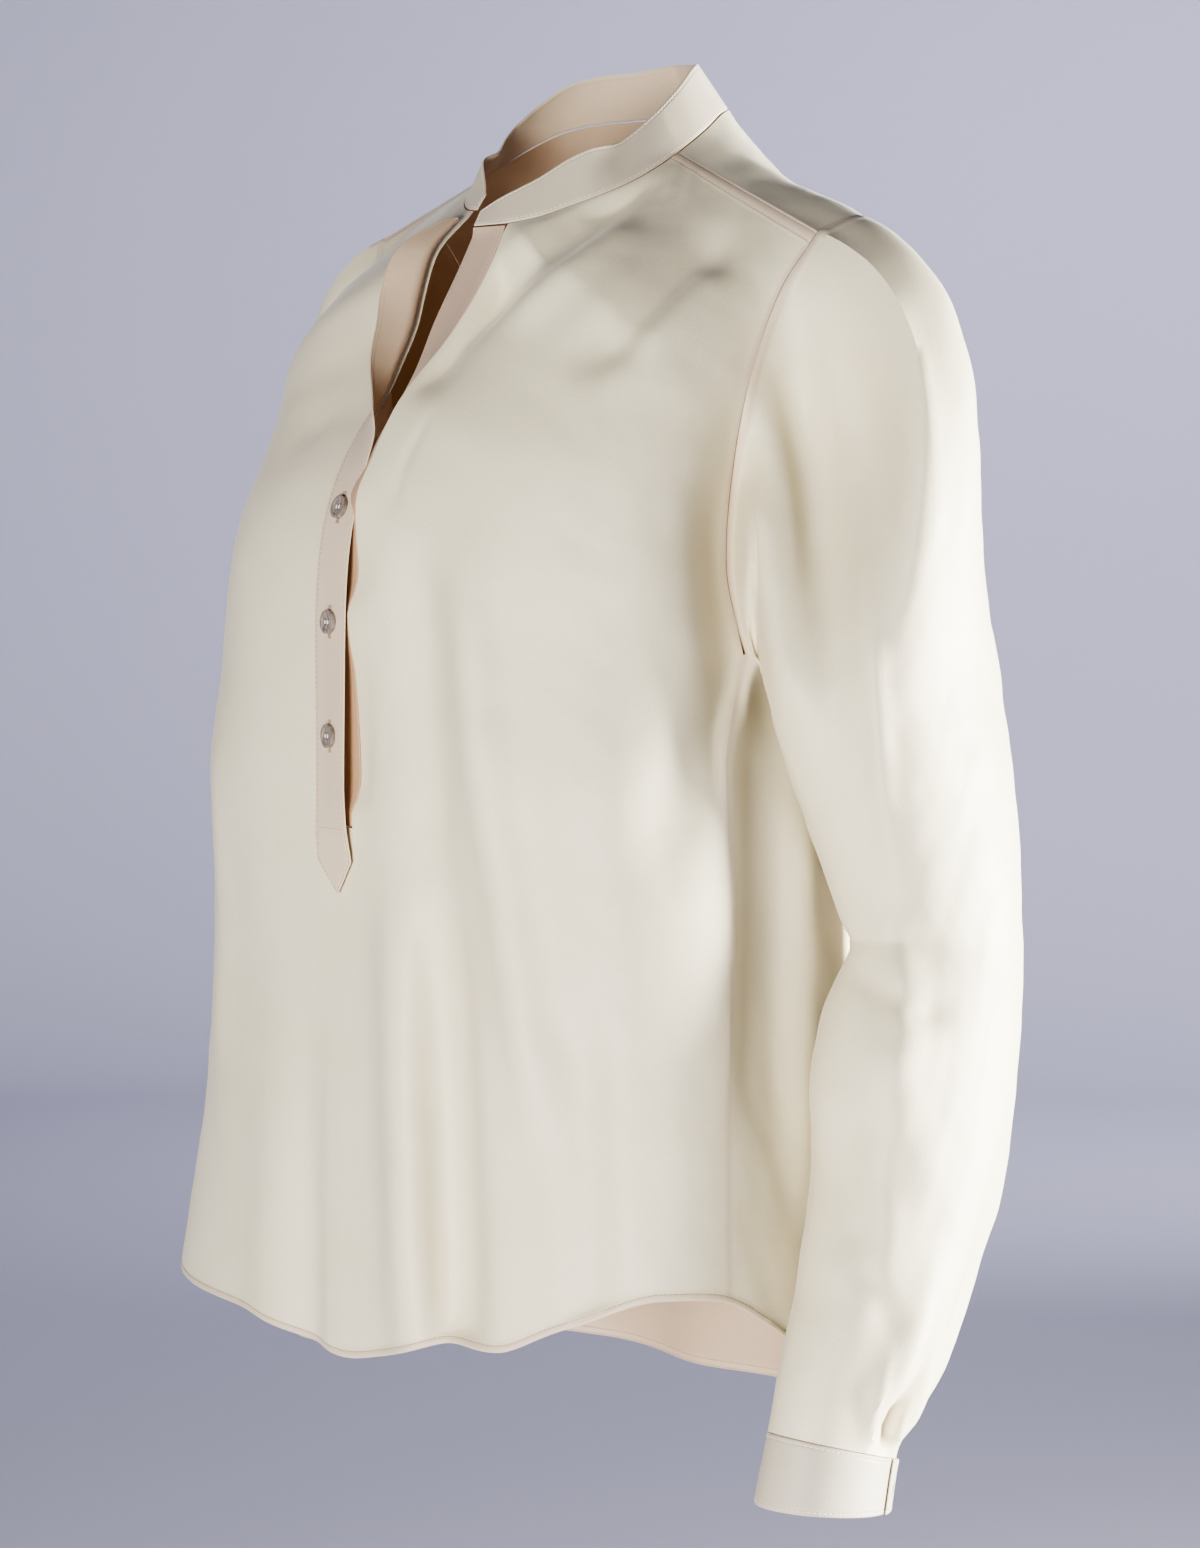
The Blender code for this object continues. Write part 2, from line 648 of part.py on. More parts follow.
def top_strip_grid(front):
    """The top placket strip: lapped on the right front, turned out at the neck, pointed at the box."""
    heights = np.concatenate([np.linspace(BOX_TIP, BOX_SHOULDER, 3),
                              np.linspace(BOX_SHOULDER, TOP_STRIP_TOP, TOP_STRIP_ROWS + 1)[1:]])
    return np.array([top_strip_row(front, height) for height in heights])


def under_strip_grid(front):
    """The under placket strip, from the left edge of the slit across behind the top strip."""
    rows = []
    for height in np.linspace(SLIT_BOTTOM + SEAM_GAP * 3, UNDER_STRIP_TOP, UNDER_STRIP_ROWS + 1):
        seam = edge_at(front, height)
        free = np.array([*read(UNDER_FREE_EDGE, height), height])
        seam = seam + (free - seam) * UNDER_GAP / STRIP_WIDTH
        rows.append([seam + (free - seam) * k / (STRIP_COLUMNS - 1) for k in range(STRIP_COLUMNS)])
    return np.array(rows)


# Making the objects -----------------------------------------------------------------------------------

def cloth_material():
    """The silk's plain finish."""
    silk = bpy.data.materials.new("silk_crepe")
    silk.use_nodes = True
    shader = silk.node_tree.nodes["Principled BSDF"]
    shader.inputs["Base Color"].default_value = SILK
    shader.inputs["Roughness"].default_value = 0.55
    return silk


def sheet(name, grids, wall, material, centre, closed=False):
    """An object from one or more grids of points, welded, facing away from a centre, with its wall inside."""
    mesh = bpy.data.meshes.new(name)
    points, faces = [], []
    for grid in grids:
        start, (rows, columns) = len(points), grid.shape[:2]
        points += [tuple(point) for row in grid for point in row]
        for r in range(rows - 1):
            for c in range(columns if closed else columns - 1):
                a, b = start + r * columns + c, start + r * columns + (c + 1) % columns
                faces.append((a, b, b + columns, a + columns))
    mesh.from_pydata(points, [], faces)
    work = bmesh.new()
    work.from_mesh(mesh)
    bmesh.ops.remove_doubles(work, verts=work.verts, dist=SEAM_GAP / 10)
    bmesh.ops.recalc_face_normals(work, faces=work.faces)
    outward = sum(face.normal.dot(face.calc_center_median() - centre(face.calc_center_median()))
                  * face.calc_area() for face in work.faces)
    if outward < 0:
        bmesh.ops.reverse_faces(work, faces=work.faces)
    work.to_mesh(mesh)
    work.free()
    mesh.shade_smooth()
    mesh.materials.append(material)
    piece = bpy.data.objects.new(name, mesh)
    BLOUSE.objects.link(piece)
    solid = piece.modifiers.new("wall", "SOLIDIFY")
    solid.thickness = wall
    solid.offset = -1
    solid.use_even_offset = True
    solid.use_quality_normals = True
    return piece


def trunk_axis(point):
    """The nearest point of the upright line through the body."""
    return Vector((0, -0.05, min(point.z, -0.10)))


def arm_axis(side, arm):
    """A function that gives the arm's centre beside a point."""
    def nearest(point):
        x, y = read(arm, point.z)[:2]
        return Vector((x * side, y, min(point.z, -0.12)))
    return nearest


def make_body(silk):
    """The front and back panels, and their halves for the sleeves."""
    fronts = {side: front_half(side) for side in (1, -1)}
    backs = {side: back_half(side) for side in (1, -1)}
    seams = {side: (fronts[side].copy(), backs[side].copy()) for side in (1, -1)}
    angles = np.linspace(-slit_angle(), slit_angle(), SLIT_COLUMNS + 1)
    middle = np.array([skirt_column(angle)[:SKIRT_ROWS + 1] for angle in angles]).transpose(1, 0, 2)
    for side in (1, -1):
        part_body_halves(fronts[side], backs[side])
    sheet("front", [fronts[1], fronts[-1], middle], CLOTH, silk, trunk_axis)
    sheet("back", [backs[1], backs[-1]], CLOTH, silk, trunk_axis)
    return seams


def make_sleeves(silk, seams):
    """Both sleeves and their cuffs."""
    for name, side, arm in (("left", 1, LEFT_ARM), ("right", -1, RIGHT_ARM)):
        sleeve = sleeve_grid(side, arm, *seams[side])
        sheet("sleeve_" + name, [sleeve], CLOTH, silk, arm_axis(side, arm), closed=True)
        sheet("cuff_" + name, [cuff_grid(side, arm)], BAND, silk, arm_axis(side, arm))


def make_neck(silk, seams):
    """The collar band and the placket strips."""
    grids = {"collar": collar_grid(seams), "placket_top": top_strip_grid(seams[-1][0]),
             "placket_under": under_strip_grid(seams[1][0])}
    for name, grid in grids.items():
        wall = BAND if name == "collar" else CLOTH
        sheet(name, [grid], wall, silk, lambda point: Vector((0, NECK_Y, point.z)))


def shell_material():
    """The buttons' plain finish."""
    shell = bpy.data.materials.new("river_shell")
    shell.use_nodes = True
    shader = shell.node_tree.nodes["Principled BSDF"]
    shader.inputs["Base Color"].default_value = SHELL
    shader.inputs["Roughness"].default_value = 0.25
    return shell


def evaluated_copy(source, name):
    """A new mesh with an object's modifiers applied."""
    depsgraph = bpy.context.evaluated_depsgraph_get()
    mesh = bpy.data.meshes.new_from_object(source.evaluated_get(depsgraph))
    mesh.name = name
    return mesh


def button_mesh(material):
    """A turned four-hole button. Its back lies on its own origin, and it faces +Z."""
    rim, well = BUTTON_RADIUS, BUTTON_RADIUS * 0.66
    top = BUTTON_THICKNESS
    profile = [(0, top * 0.70), (well * 0.9, top * 0.70), (well * 1.1, top), (rim * 0.92, top),
               (rim, top * 0.75), (rim, top * 0.30), (rim * 0.9, 0), (0, 0)]
    outline = bpy.data.meshes.new("button_outline")
    outline.from_pydata([(x, 0, z) for x, z in profile], [(k, k + 1) for k in range(len(profile) - 1)], [])
    blank = bpy.data.objects.new("button_blank", outline)
    BLOUSE.objects.link(blank)
    turned = blank.modifiers.new("turned", "SCREW")
    turned.steps = turned.render_steps = BUTTON_SIDES
    turned.use_merge_vertices = True
    turned.merge_threshold = 0.00001
    turned.use_normal_calculate = True
    work = bmesh.new()
    for x, y in ((1, 1), (-1, 1), (-1, -1), (1, -1)):
        place = Matrix.Translation((x * THREAD_HOLE_SPREAD, y * THREAD_HOLE_SPREAD, top / 2))
        bmesh.ops.create_cone(work, cap_ends=True, segments=6, radius1=THREAD_HOLE_RADIUS,
                              radius2=THREAD_HOLE_RADIUS, depth=top * 2, matrix=place)
    drill_mesh = bpy.data.meshes.new("thread_holes")
    work.to_mesh(drill_mesh)
    work.free()
    drill = bpy.data.objects.new("thread_holes", drill_mesh)
    drill.hide_render = True
    drill.display_type = "WIRE"
    CUTTERS.objects.link(drill)
    cut = blank.modifiers.new("holes", "BOOLEAN")
    cut.operation = "DIFFERENCE"
    cut.object = drill
    mesh = evaluated_copy(blank, "button")
    bpy.data.objects.remove(blank, do_unlink=True)
    mesh.materials.clear()
    mesh.materials.append(material)
    mesh.shade_smooth()
    mesh.set_sharp_from_angle(angle=math.radians(35))
    return mesh


def place_button(name, mesh, seat, normal, upright):
    """A button with its back a seam gap off the cloth."""
    across = Vector(upright).cross(Vector(normal)).normalized()
    axes = Matrix((across, Vector(normal).cross(across), Vector(normal))).transposed().to_4x4()
    button = bpy.data.objects.new(name, mesh)
    button.matrix_world = Matrix.Translation(Vector(seat) + Vector(normal) * SEAM_GAP) @ axes
    BLOUSE.objects.link(button)


def cloth_seat(before, after, below, above):
    """The middle of four points of cloth, and the outward normal there."""
    seat = (before + after) / 2
    normal = Vector(after - before).cross(Vector(above - below)).normalized()
    return seat, normal


def make_buttons(shell, front):
    """The three placket buttons and the one at each cuff."""
    mesh = button_mesh(shell)
    middle = STRIP_COLUMNS // 2
    for number, height in enumerate(BUTTON_HEIGHTS, 1):
        row, over, under = (np.array(top_strip_row(front, height + step)) for step in (0, 0.004, -0.004))
        seat, normal = cloth_seat(row[middle - 1], row[middle + 1], under[middle], over[middle])
        place_button(f"button_{number}", mesh, row[middle], normal, (0, 0, 1))
    for name, side, arm in (("left", 1, LEFT_ARM), ("right", -1, RIGHT_ARM)):
        height = (arm[-1][0] + CUFF_TOP) / 2
        degrees = CUFF_START + CUFF_LAP / 2
        lift = BAND + 2 * SEAM_GAP
        seat = arm_point(arm, height, side, degrees, lift)
        before, after = (arm_point(arm, height, side, degrees - side * step, lift) for step in (-6, 6))
        under, over = (arm_point(arm, height + step, side, degrees, lift) for step in (-0.004, 0.004))
        normal = cloth_seat(before, after, under, over)[1]
        place_button(f"cuff_button_{name}", mesh, seat, normal, (0, 0, 1))


for old in list(bpy.data.objects):
    bpy.data.objects.remove(old, do_unlink=True)
BLOUSE = bpy.data.collections.new("silk blouse")
CUTTERS = bpy.data.collections.new("cutters")
bpy.context.scene.collection.children.link(BLOUSE)
bpy.context.scene.collection.children.link(CUTTERS)
SILK_CREPE = cloth_material()
SEAMS = make_body(SILK_CREPE)
make_sleeves(SILK_CREPE, SEAMS)
make_neck(SILK_CREPE, SEAMS)
make_buttons(shell_material(), SEAMS[-1][0])
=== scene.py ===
# %% [markdown]
# # A silk crepe blouse, held in its worn form
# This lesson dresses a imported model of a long-sleeved silk blouse: a popover with a band collar, a half
# placket with three shell buttons, set-in sleeves and a curved hem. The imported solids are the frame. Each
# cut piece is made again here as a thin sheet of silk that lies on its solid, with the folds and creases
# that the cloth takes when it is worn.

# %% Open the frame
import math
import json
import bmesh
import bpy
import numpy as np
from mathutils import Matrix, Vector

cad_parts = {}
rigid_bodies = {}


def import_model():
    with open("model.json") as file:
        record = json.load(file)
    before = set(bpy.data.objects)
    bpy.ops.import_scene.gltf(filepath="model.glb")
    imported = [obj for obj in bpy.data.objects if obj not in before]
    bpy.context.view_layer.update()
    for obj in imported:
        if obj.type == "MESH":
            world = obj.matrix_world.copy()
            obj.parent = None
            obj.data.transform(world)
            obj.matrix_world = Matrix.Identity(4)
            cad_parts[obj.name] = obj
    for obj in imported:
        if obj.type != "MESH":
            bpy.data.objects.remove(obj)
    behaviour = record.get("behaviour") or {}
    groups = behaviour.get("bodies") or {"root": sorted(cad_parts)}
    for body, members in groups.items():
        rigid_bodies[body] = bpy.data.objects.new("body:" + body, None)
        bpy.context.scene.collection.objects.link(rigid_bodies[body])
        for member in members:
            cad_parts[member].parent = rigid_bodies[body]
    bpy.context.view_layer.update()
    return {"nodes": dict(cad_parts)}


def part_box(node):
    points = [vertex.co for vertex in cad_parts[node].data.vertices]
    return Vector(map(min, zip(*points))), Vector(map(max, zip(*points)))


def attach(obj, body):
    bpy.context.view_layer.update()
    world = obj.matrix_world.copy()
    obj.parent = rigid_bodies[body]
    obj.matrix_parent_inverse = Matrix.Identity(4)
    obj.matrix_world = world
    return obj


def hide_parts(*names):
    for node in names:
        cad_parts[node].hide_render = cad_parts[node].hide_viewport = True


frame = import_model()
bpy.ops.object.select_all(action="DESELECT")
print("nodes:", sorted(frame["nodes"]))

# %% [markdown]
# ## The pattern's numbers
# A blouse is cut flat from a pattern, and on a body it becomes a few smooth sheets between seams. The sheets
# are worked out from short tables: rounds of the body and arms at a few heights, the neckline, the armholes
# and the hem. A scan or a cloth simulation could give such a form too, but tables are easy to read and to
# change. The solids were made from nearly the same values, so the sheets lie on them.
#
# The first tables are for the body. Its rounds are wider than deep, the tail of the shirt hangs lower at the
# back than in front, and the loose cloth stands in long soft folds that grow towards the hem.

# %% The body's rounds, the hem and the soft folds
SQUARENESS = 2.4
TORSO = (
    # height, half_width, side_y, front_depth, back_depth
    (-0.690, 0.215, -0.092, 0.090, 0.162),
    (-0.640, 0.213, -0.092, 0.088, 0.165),
    (-0.550, 0.207, -0.089, 0.091, 0.171),
    (-0.400, 0.200, -0.080, 0.099, 0.167),
    (-0.330, 0.195, -0.079, 0.106, 0.161),
    (-0.270, 0.185, -0.060, 0.121, 0.146),
)
UNDERARM_Z = -0.270
HEM = (
    # angle_from_front, height
    (-180, -0.682),
    (-140, -0.675),
    (-112, -0.650),
    (-98, -0.624),
    (-88, -0.618),
    (-70, -0.630),
    (-45, -0.634),
    (-20, -0.642),
    (0, -0.645),
    (22, -0.639),
    (45, -0.626),
    (57, -0.624),
    (68, -0.608),
    (80, -0.592),
    (90, -0.596),
    (98, -0.612),
    (112, -0.645),
    (140, -0.675),
    (180, -0.682),
)
BODY_FOLDS = (
    # angle_at_hem, angle_at_top, rise, half_width_deg, top_height, full_height
    (-50, -50, 0.004, 22, -0.20, -0.27),
    (-50, -50, -0.004, 22, -0.34, -0.46),
    (35, 22, 0.008, 9, -0.30, -0.55),
    (47, 34, -0.009, 7, -0.36, -0.55),
    (56, 44, 0.006, 6, -0.40, -0.60),
    (-76, -62, 0.016, 20, -0.50, -0.66),
    (-38, -30, 0.005, 10, -0.42, -0.62),
    (-20, -16, -0.005, 9, -0.40, -0.62),
    (118, 130, 0.010, 12, -0.34, -0.60),
    (136, 146, -0.009, 10, -0.32, -0.60),
    (156, 160, 0.008, 11, -0.30, -0.60),
    (176, 172, -0.008, 10, -0.28, -0.58),
    (-160, -164, 0.009, 11, -0.32, -0.60),
    (-140, -150, -0.008, 10, -0.34, -0.62),
    (-120, -132, 0.009, 12, -0.36, -0.60),
)
FOLD_SPAN = (-0.64, -0.30)  # a fold's angle changes between these heights
print("body:", len(TORSO), "rounds,", len(HEM), "points of the hem and", len(BODY_FOLDS), "folds")

# %% [markdown]
# ### Neck and armholes
# A band collar stands on a neckline that is a little wider than the neck. Here the shirt is open and slips to
# its left, so the left half of the neckline lies lower and further out than the right half. The armholes are
# curves through a few points of the body's side, and one table serves both sides.

# %% The neckline, collar, armholes and back
NECK_Y = -0.007
NECKLINE = (
    # angle_from_front, left_radius, left_height, right_radius, right_height
    (0, 0.0890, -0.0445, 0.0660, -0.0330),
    (22, 0.0935, -0.0440, 0.0670, -0.0325),
    (45, 0.0860, -0.0340, 0.0700, -0.0280),
    (65, 0.0830, -0.0220, 0.0750, -0.0190),
    (87, 0.0800, -0.0045, 0.0800, -0.0045),
    (105, 0.0780, 0.0100, 0.0780, 0.0100),
    (125, 0.0765, 0.0215, 0.0765, 0.0215),
    (180, 0.0760, 0.0260, 0.0760, 0.0260),
)
NECK_POINT_ANGLE = 87
COLLAR_LEFT_END = 6
COLLAR_RIGHT_END = 19
COLLAR_HEIGHTS = (
    # distance_from_end, height
    (0.000, 0.011),
    (0.015, 0.019),
    (0.030, 0.025),
    (0.050, 0.030),
    (0.070, 0.031),
)
COLLAR_LEANS = (
    # angle_from_front, lean_inward_deg
    (0, 32),
    (25, 32),
    (48, 24),
    (66, 40),
    (90, 36),
    (125, 34),
    (145, 34),
    (180, 27),
)
ARMHOLE_FRONT = (
    # x, y, z
    (0.1850, -0.0090, -0.0520),
    (0.1740, -0.0260, -0.0840),
    (0.1690, -0.0420, -0.1300),
    (0.1690, -0.0560, -0.1800),
    (0.1740, -0.0640, -0.2250),
    (0.1820, -0.0630, -0.2560),
)
ARMHOLE_BACK = (
    (0.1830, -0.0300, -0.2600),
    (0.1720, 0.0100, -0.2320),
    (0.1640, 0.0380, -0.1850),
    (0.1660, 0.0530, -0.1300),
    (0.1770, 0.0490, -0.0800),
    (0.1860, 0.0260, -0.0440),
)
NAPE_DIP = 0.011
DIP_UP = 9.5     # brings the dip's highest place along the rows to about 1
DIP_ACROSS = 6.75  # and its highest place across them
RIGHT_SHOULDER_RISE = 0.020
FRONT_FULLNESS = 0.5
BACK_FULLNESS = 0.15
SPINE = (
    # x, y, z
    (0, 0.096, -0.200),
    (0, 0.103, -0.130),
    (0, 0.094, -0.050),
)
print("neckline:", len(NECKLINE), "points, armhole:", len(ARMHOLE_FRONT) + len(ARMHOLE_BACK), "points")

# %% [markdown]
# ### The placket
# A popover opens only to the chest. Its slit is bound by two strips of doubled silk: the upper one carries the
# buttonholes and ends in a stitched point, and the lower one carries the buttons. Over the buttons the strips
# lie flat on each other. Above them the upper strip rolls out, so its table gives a turn for each height.

# %% The slit and the placket strips
LEFT_EDGE = (
    # height, x, y
    (-0.270, 0.0150, -0.1808),
    (-0.222, 0.0150, -0.1822),
    (-0.184, 0.0140, -0.1784),
    (-0.168, 0.0170, -0.1690),
    (-0.150, 0.0200, -0.1640),
    (-0.138, 0.0215, -0.1580),
    (-0.118, 0.0265, -0.1390),
    (-0.077, 0.0330, -0.1100),
    (-0.044, 0.0350, -0.0940),
)
RIGHT_EDGE = (
    (-0.270, -0.0130, -0.1808),
    (-0.222, -0.0130, -0.1825),
    (-0.184, -0.0135, -0.1755),
    (-0.166, -0.0135, -0.1640),
    (-0.148, -0.0130, -0.1460),
    (-0.123, -0.0150, -0.1290),
    (-0.097, -0.0180, -0.1130),
    (-0.071, -0.0220, -0.1020),
    (-0.050, -0.0240, -0.0900),
    (-0.0325, -0.0240, -0.0695),
)
SLIT_HALF = 0.0138
SLIT_BOTTOM = -0.362
STRIP_WIDTH = 0.027
STRIP_LAP = 0.003
STRIP_LIFT = 0.0026
TOP_STRIP_TOP = -0.037
UNDER_STRIP_END = -0.0447
BOX_SHOULDER = -0.380
BOX_TIP = -0.397
BOX_POINT = 0.94
TURN_LENGTH = 0.4
EDGE_STEP = 0.006
UNDER_GAP = 0.0011
TOP_TURN = (
    # height, turned_out_deg, width
    (-0.380, 0, 0.030),
    (-0.340, 9, 0.030),
    (-0.220, 4, 0.029),
    (-0.190, 4, 0.028),
    (-0.172, 8, 0.027),
    (-0.155, 20, 0.027),
    (-0.140, 48, 0.026),
    (-0.120, 84, 0.026),
    (-0.100, 112, 0.026),
    (-0.075, 132, 0.027),
    (-0.056, 132, 0.025),
    (-0.046, 132, 0.018),
    (-0.036, 132, 0.008),
)
UNDER_FREE_EDGE = (
    # height, x, y
    (-0.362, -0.0120, -0.1765),
    (-0.270, -0.0110, -0.1755),
    (-0.190, -0.0110, -0.1700),
    (-0.165, -0.0090, -0.1540),
    (-0.148, -0.0060, -0.1420),
    (-0.124, 0.0010, -0.1310),
    (-0.094, 0.0050, -0.1190),
    (-0.066, 0.0080, -0.1050),
    (-0.049, 0.0095, -0.0970),
)
print("slit:", round(LEFT_EDGE[-1][0] - SLIT_BOTTOM, 3), "m long")

# %% [markdown]
# ### Arms and sleeves
# A hanging sleeve is a tube that bends forward at the elbow and narrows fast into the cuff. The left arm is
# bent more than the right one, so each has its own table of rounds.

# %% The arms and sleeves
LEFT_ARM = (
    # height, x, y, half_width, half_depth
    (-0.293, 0.2140, 0.0120, 0.0540, 0.0670),
    (-0.345, 0.2250, 0.0205, 0.0480, 0.0600),
    (-0.397, 0.2340, 0.0260, 0.0430, 0.0530),
    (-0.416, 0.2360, 0.0270, 0.0410, 0.0510),
    (-0.450, 0.2380, 0.0190, 0.0450, 0.0560),
    (-0.490, 0.2410, 0.0080, 0.0470, 0.0580),
    (-0.536, 0.2450, 0.0000, 0.0440, 0.0540),
    (-0.577, 0.2480, -0.0150, 0.0410, 0.0495),
    (-0.611, 0.2500, -0.0290, 0.0380, 0.0465),
    (-0.632, 0.2510, -0.0425, 0.0345, 0.0430),
    (-0.652, 0.2510, -0.0540, 0.0300, 0.0375),
    (-0.6655, 0.2510, -0.0580, 0.0293, 0.0362),
    (-0.6960, 0.2510, -0.0655, 0.0300, 0.0370),
)
RIGHT_ARM = (
    (-0.293, 0.2140, 0.0120, 0.0540, 0.0670),
    (-0.345, 0.2230, 0.0190, 0.0490, 0.0610),
    (-0.397, 0.2290, 0.0240, 0.0450, 0.0560),
    (-0.430, 0.2310, 0.0260, 0.0430, 0.0530),
    (-0.470, 0.2330, 0.0260, 0.0450, 0.0550),
    (-0.536, 0.2370, 0.0240, 0.0440, 0.0540),
    (-0.595, 0.2400, 0.0190, 0.0420, 0.0510),
    (-0.632, 0.2420, 0.0150, 0.0390, 0.0480),
    (-0.652, 0.2430, 0.0130, 0.0330, 0.0410),
    (-0.6655, 0.2435, 0.0115, 0.0293, 0.0362),
    (-0.6960, 0.2445, 0.0080, 0.0300, 0.0370),
)
CUFF_TOP = -0.6655
SHOULDER_OFFSET = 8
UNDERARM_SHIFT = 53
SHIFT_SPREAD = 60
SHIFT_END = -0.45
SLEEVE_CLEARANCE = 0.0025
CAP_CLEARANCE = 0.012
SLEEVE_SOFTNESS = 0.006
UNDERARM_FALL = (0.45, 0, -0.9)
FRONT_FALL = (0.80, 0.50, -0.35)
BACK_FALL = (0.75, 0.35, -0.55)
CAP_LIFT = 0.15
CAP_FALL = 0.9
# degrees from the cap's top, from where the cloth changes its way to where it has changed
TOP_TURNS = (80, 0)
SIDE_TURNS = (50, 110)
CLEAR_TURNS = (100, 140)
UNDERARM_TURNS = (150, 170)
CAP_ROUND = (
    # degrees_from_top, length_of_start
    (0, 1.4),
    (35, 1.5),
    (70, 1.25),
    (105, 0.8),
    (180, 0.6),
)
ARM_STEP = 0.015
CUFF_START = 292
CUFF_LAP = 38
SLEEVE_FOLDS = (
    # angle_top, angle_low, rise, half_width_deg, top_height, full_height, end_height
    (62, 70, -0.006, 22, -0.10, -0.24, -0.42),
    (20, 40, 0.004, 20, -0.16, -0.30, -0.46),
    (160, 120, -0.006, 24, -0.36, -0.415, -0.47),
    (60, 30, 0.005, 24, -0.44, -0.50, -0.58),
    (330, 320, -0.005, 16, -0.50, -0.60, -0.665),
    (10, 5, 0.006, 14, -0.56, -0.63, -0.665),
    (352, 350, -0.006, 9, -0.58, -0.645, -0.665),
    (332, 330, 0.005, 10, -0.60, -0.64, -0.665),
)
BUTTON_HEIGHTS = (-0.194, -0.254, -0.314)
BUTTON_RADIUS = 0.00625
print("arms:", len(LEFT_ARM), "and", len(RIGHT_ARM), "rounds,", len(SLEEVE_FOLDS), "folds")

# %% [markdown]
# ### Fineness and thickness
# The sheets are grids, and one number says how fine they are. Real crepe is about 0.3 mm thick. It is made a
# little thicker here, and the bands thicker again, because they are several layers pressed together.

# %% How finely the sheets are cut, and how thick the cloth is
FINE = 6
HALF_COLUMNS = 14 * FINE
SLIT_COLUMNS = 2 * FINE
SKIRT_ROWS = 10 * FINE + 12
CHEST_ROWS = 3 * FINE + 6
EDGE_ROWS = 7 * FINE
YOKE_ROWS = 12 * FINE
NECK_CORNER_ROW = SKIRT_ROWS + CHEST_ROWS + EDGE_ROWS
SLEEVE_COLUMNS = 2 * YOKE_ROWS
CAP_ROWS = 7 * FINE
ARM_ROWS = 17 * FINE
SILK_THICKNESS = 0.0005
STRIP_THICKNESS = 0.0008
BAND_THICKNESS = 0.0012
SEAM_GAP = 0.0003
print("rows up a front half:", SKIRT_ROWS + CHEST_ROWS + YOKE_ROWS + 1)

# %% [markdown]
# ## Curves through tables
# A table row says what the pattern is at one height or angle. A smooth curve through the rows gives it
# everywhere, and a curve that never overshoots its rows keeps the cloth from bulging where nobody asked.


# %% Read tables and draw soft steps
def read(table, keys):
    """Every other column of a table at many keys, on smooth curves through its rows."""
    rows = np.array(sorted(table), float)
    knots, values = rows[:, 0], rows[:, 1:]
    spans = np.diff(knots)
    slopes = np.diff(values, axis=0) / spans[:, None]
    inner = np.where(slopes[:-1] * slopes[1:] > 0, (slopes[:-1] + slopes[1:]) / 2, 0)
    limit = 3 * np.minimum(abs(slopes[:-1]), abs(slopes[1:]))
    tangents = np.vstack([slopes[:1], np.clip(inner, -limit, limit), slopes[-1:]])
    keys = np.clip(np.asarray(keys, float), knots[0], knots[-1])
    row = np.clip(np.searchsorted(knots, keys, side="right") - 1, 0, len(spans) - 1)
    width = spans[row][..., None]
    t = (keys - knots[row])[..., None] / width
    soft = t * t * (3 - 2 * t)
    return (values[row] * (1 - soft) + values[row + 1] * soft
            + tangents[row] * width * t * (1 - t) ** 2 - tangents[row + 1] * width * t * t * (1 - t))


def ease(start, end, value):
    """0 at start, 1 at end and a soft S between."""
    t = np.clip((np.asarray(value, float) - start) / (end - start), 0, 1)
    return t * t * (3 - 2 * t)


def bump(distance, half_width):
    """A soft bell of height 1."""
    return np.exp(-(distance / half_width) ** 2)


def unit(vectors):
    """The same vectors at length 1."""
    return vectors / np.maximum(np.linalg.norm(vectors, axis=-1, keepdims=True), 1e-12)


def arc_samples(points, count, steps=40):
    """Evenly spaced points on a smooth open curve through the given ones."""
    points = np.array(points, float)
    held = np.vstack([2 * points[0] - points[1], points, 2 * points[-1] - points[-2]])
    t = (np.arange(1, steps + 1) / steps)[:, None]
    fine = [points[:1]]
    for k in range(1, len(held) - 2):
        a, b, c, d = held[k - 1:k + 3]
        fine.append(0.5 * (2 * b + (c - a) * t + (2 * a - 5 * b + 4 * c - d) * t * t
                           + (3 * b - a - 3 * c + d) * t ** 3))
    return even(np.vstack(fine), count)


def even(line, count):
    """Evenly spaced points along a line of straight runs."""
    lengths = np.concatenate([[0], np.cumsum(np.linalg.norm(np.diff(line, axis=0), axis=1))])
    wanted = np.linspace(0, lengths[-1], count)
    return np.column_stack([np.interp(wanted, lengths, line[:, axis]) for axis in range(3)])


print("half width of the body at the chest:", round(float(read(TORSO, -0.30)[0]), 4), "m")


# %% [markdown]
# ## The body
# The torso is a soft, squarish round at each height. Up to the underarm the rounds are stacked. Above it the
# front and the back are stretched between a centre line (slit edge and neckline, or spine and nape) and the
# armhole, and they meet at a seam that runs just in front of the shoulder's top.


# %% Points of the body
def fold_height(angle, height):
    """How far the body's cloth stands out in its broad folds."""
    total = 0.0
    for low, top, rise, width, top_z, full_z in BODY_FOLDS:
        middle = low + (top - low) * ease(*FOLD_SPAN, height)
        apart = (angle - middle + 180) % 360 - 180
        total = total + rise * bump(apart, width) * ease(top_z, full_z, height)
    return total


def body_points(angle, height):
    """Points of the body's outer face, at angles from the centre front."""
    half_width, side_y, front, back = np.moveaxis(read(TORSO, height), -1, 0)
    turn = np.radians(angle)
    depth = np.where(abs(angle) <= 90, front, back)
    radius = (abs(np.sin(turn) / half_width) ** SQUARENESS
              + abs(np.cos(turn) / depth) ** SQUARENESS) ** (-1 / SQUARENESS)
    radius = radius + fold_height(angle, height)
    return np.stack([radius * np.sin(turn), side_y - radius * np.cos(turn), height + 0 * turn], -1)


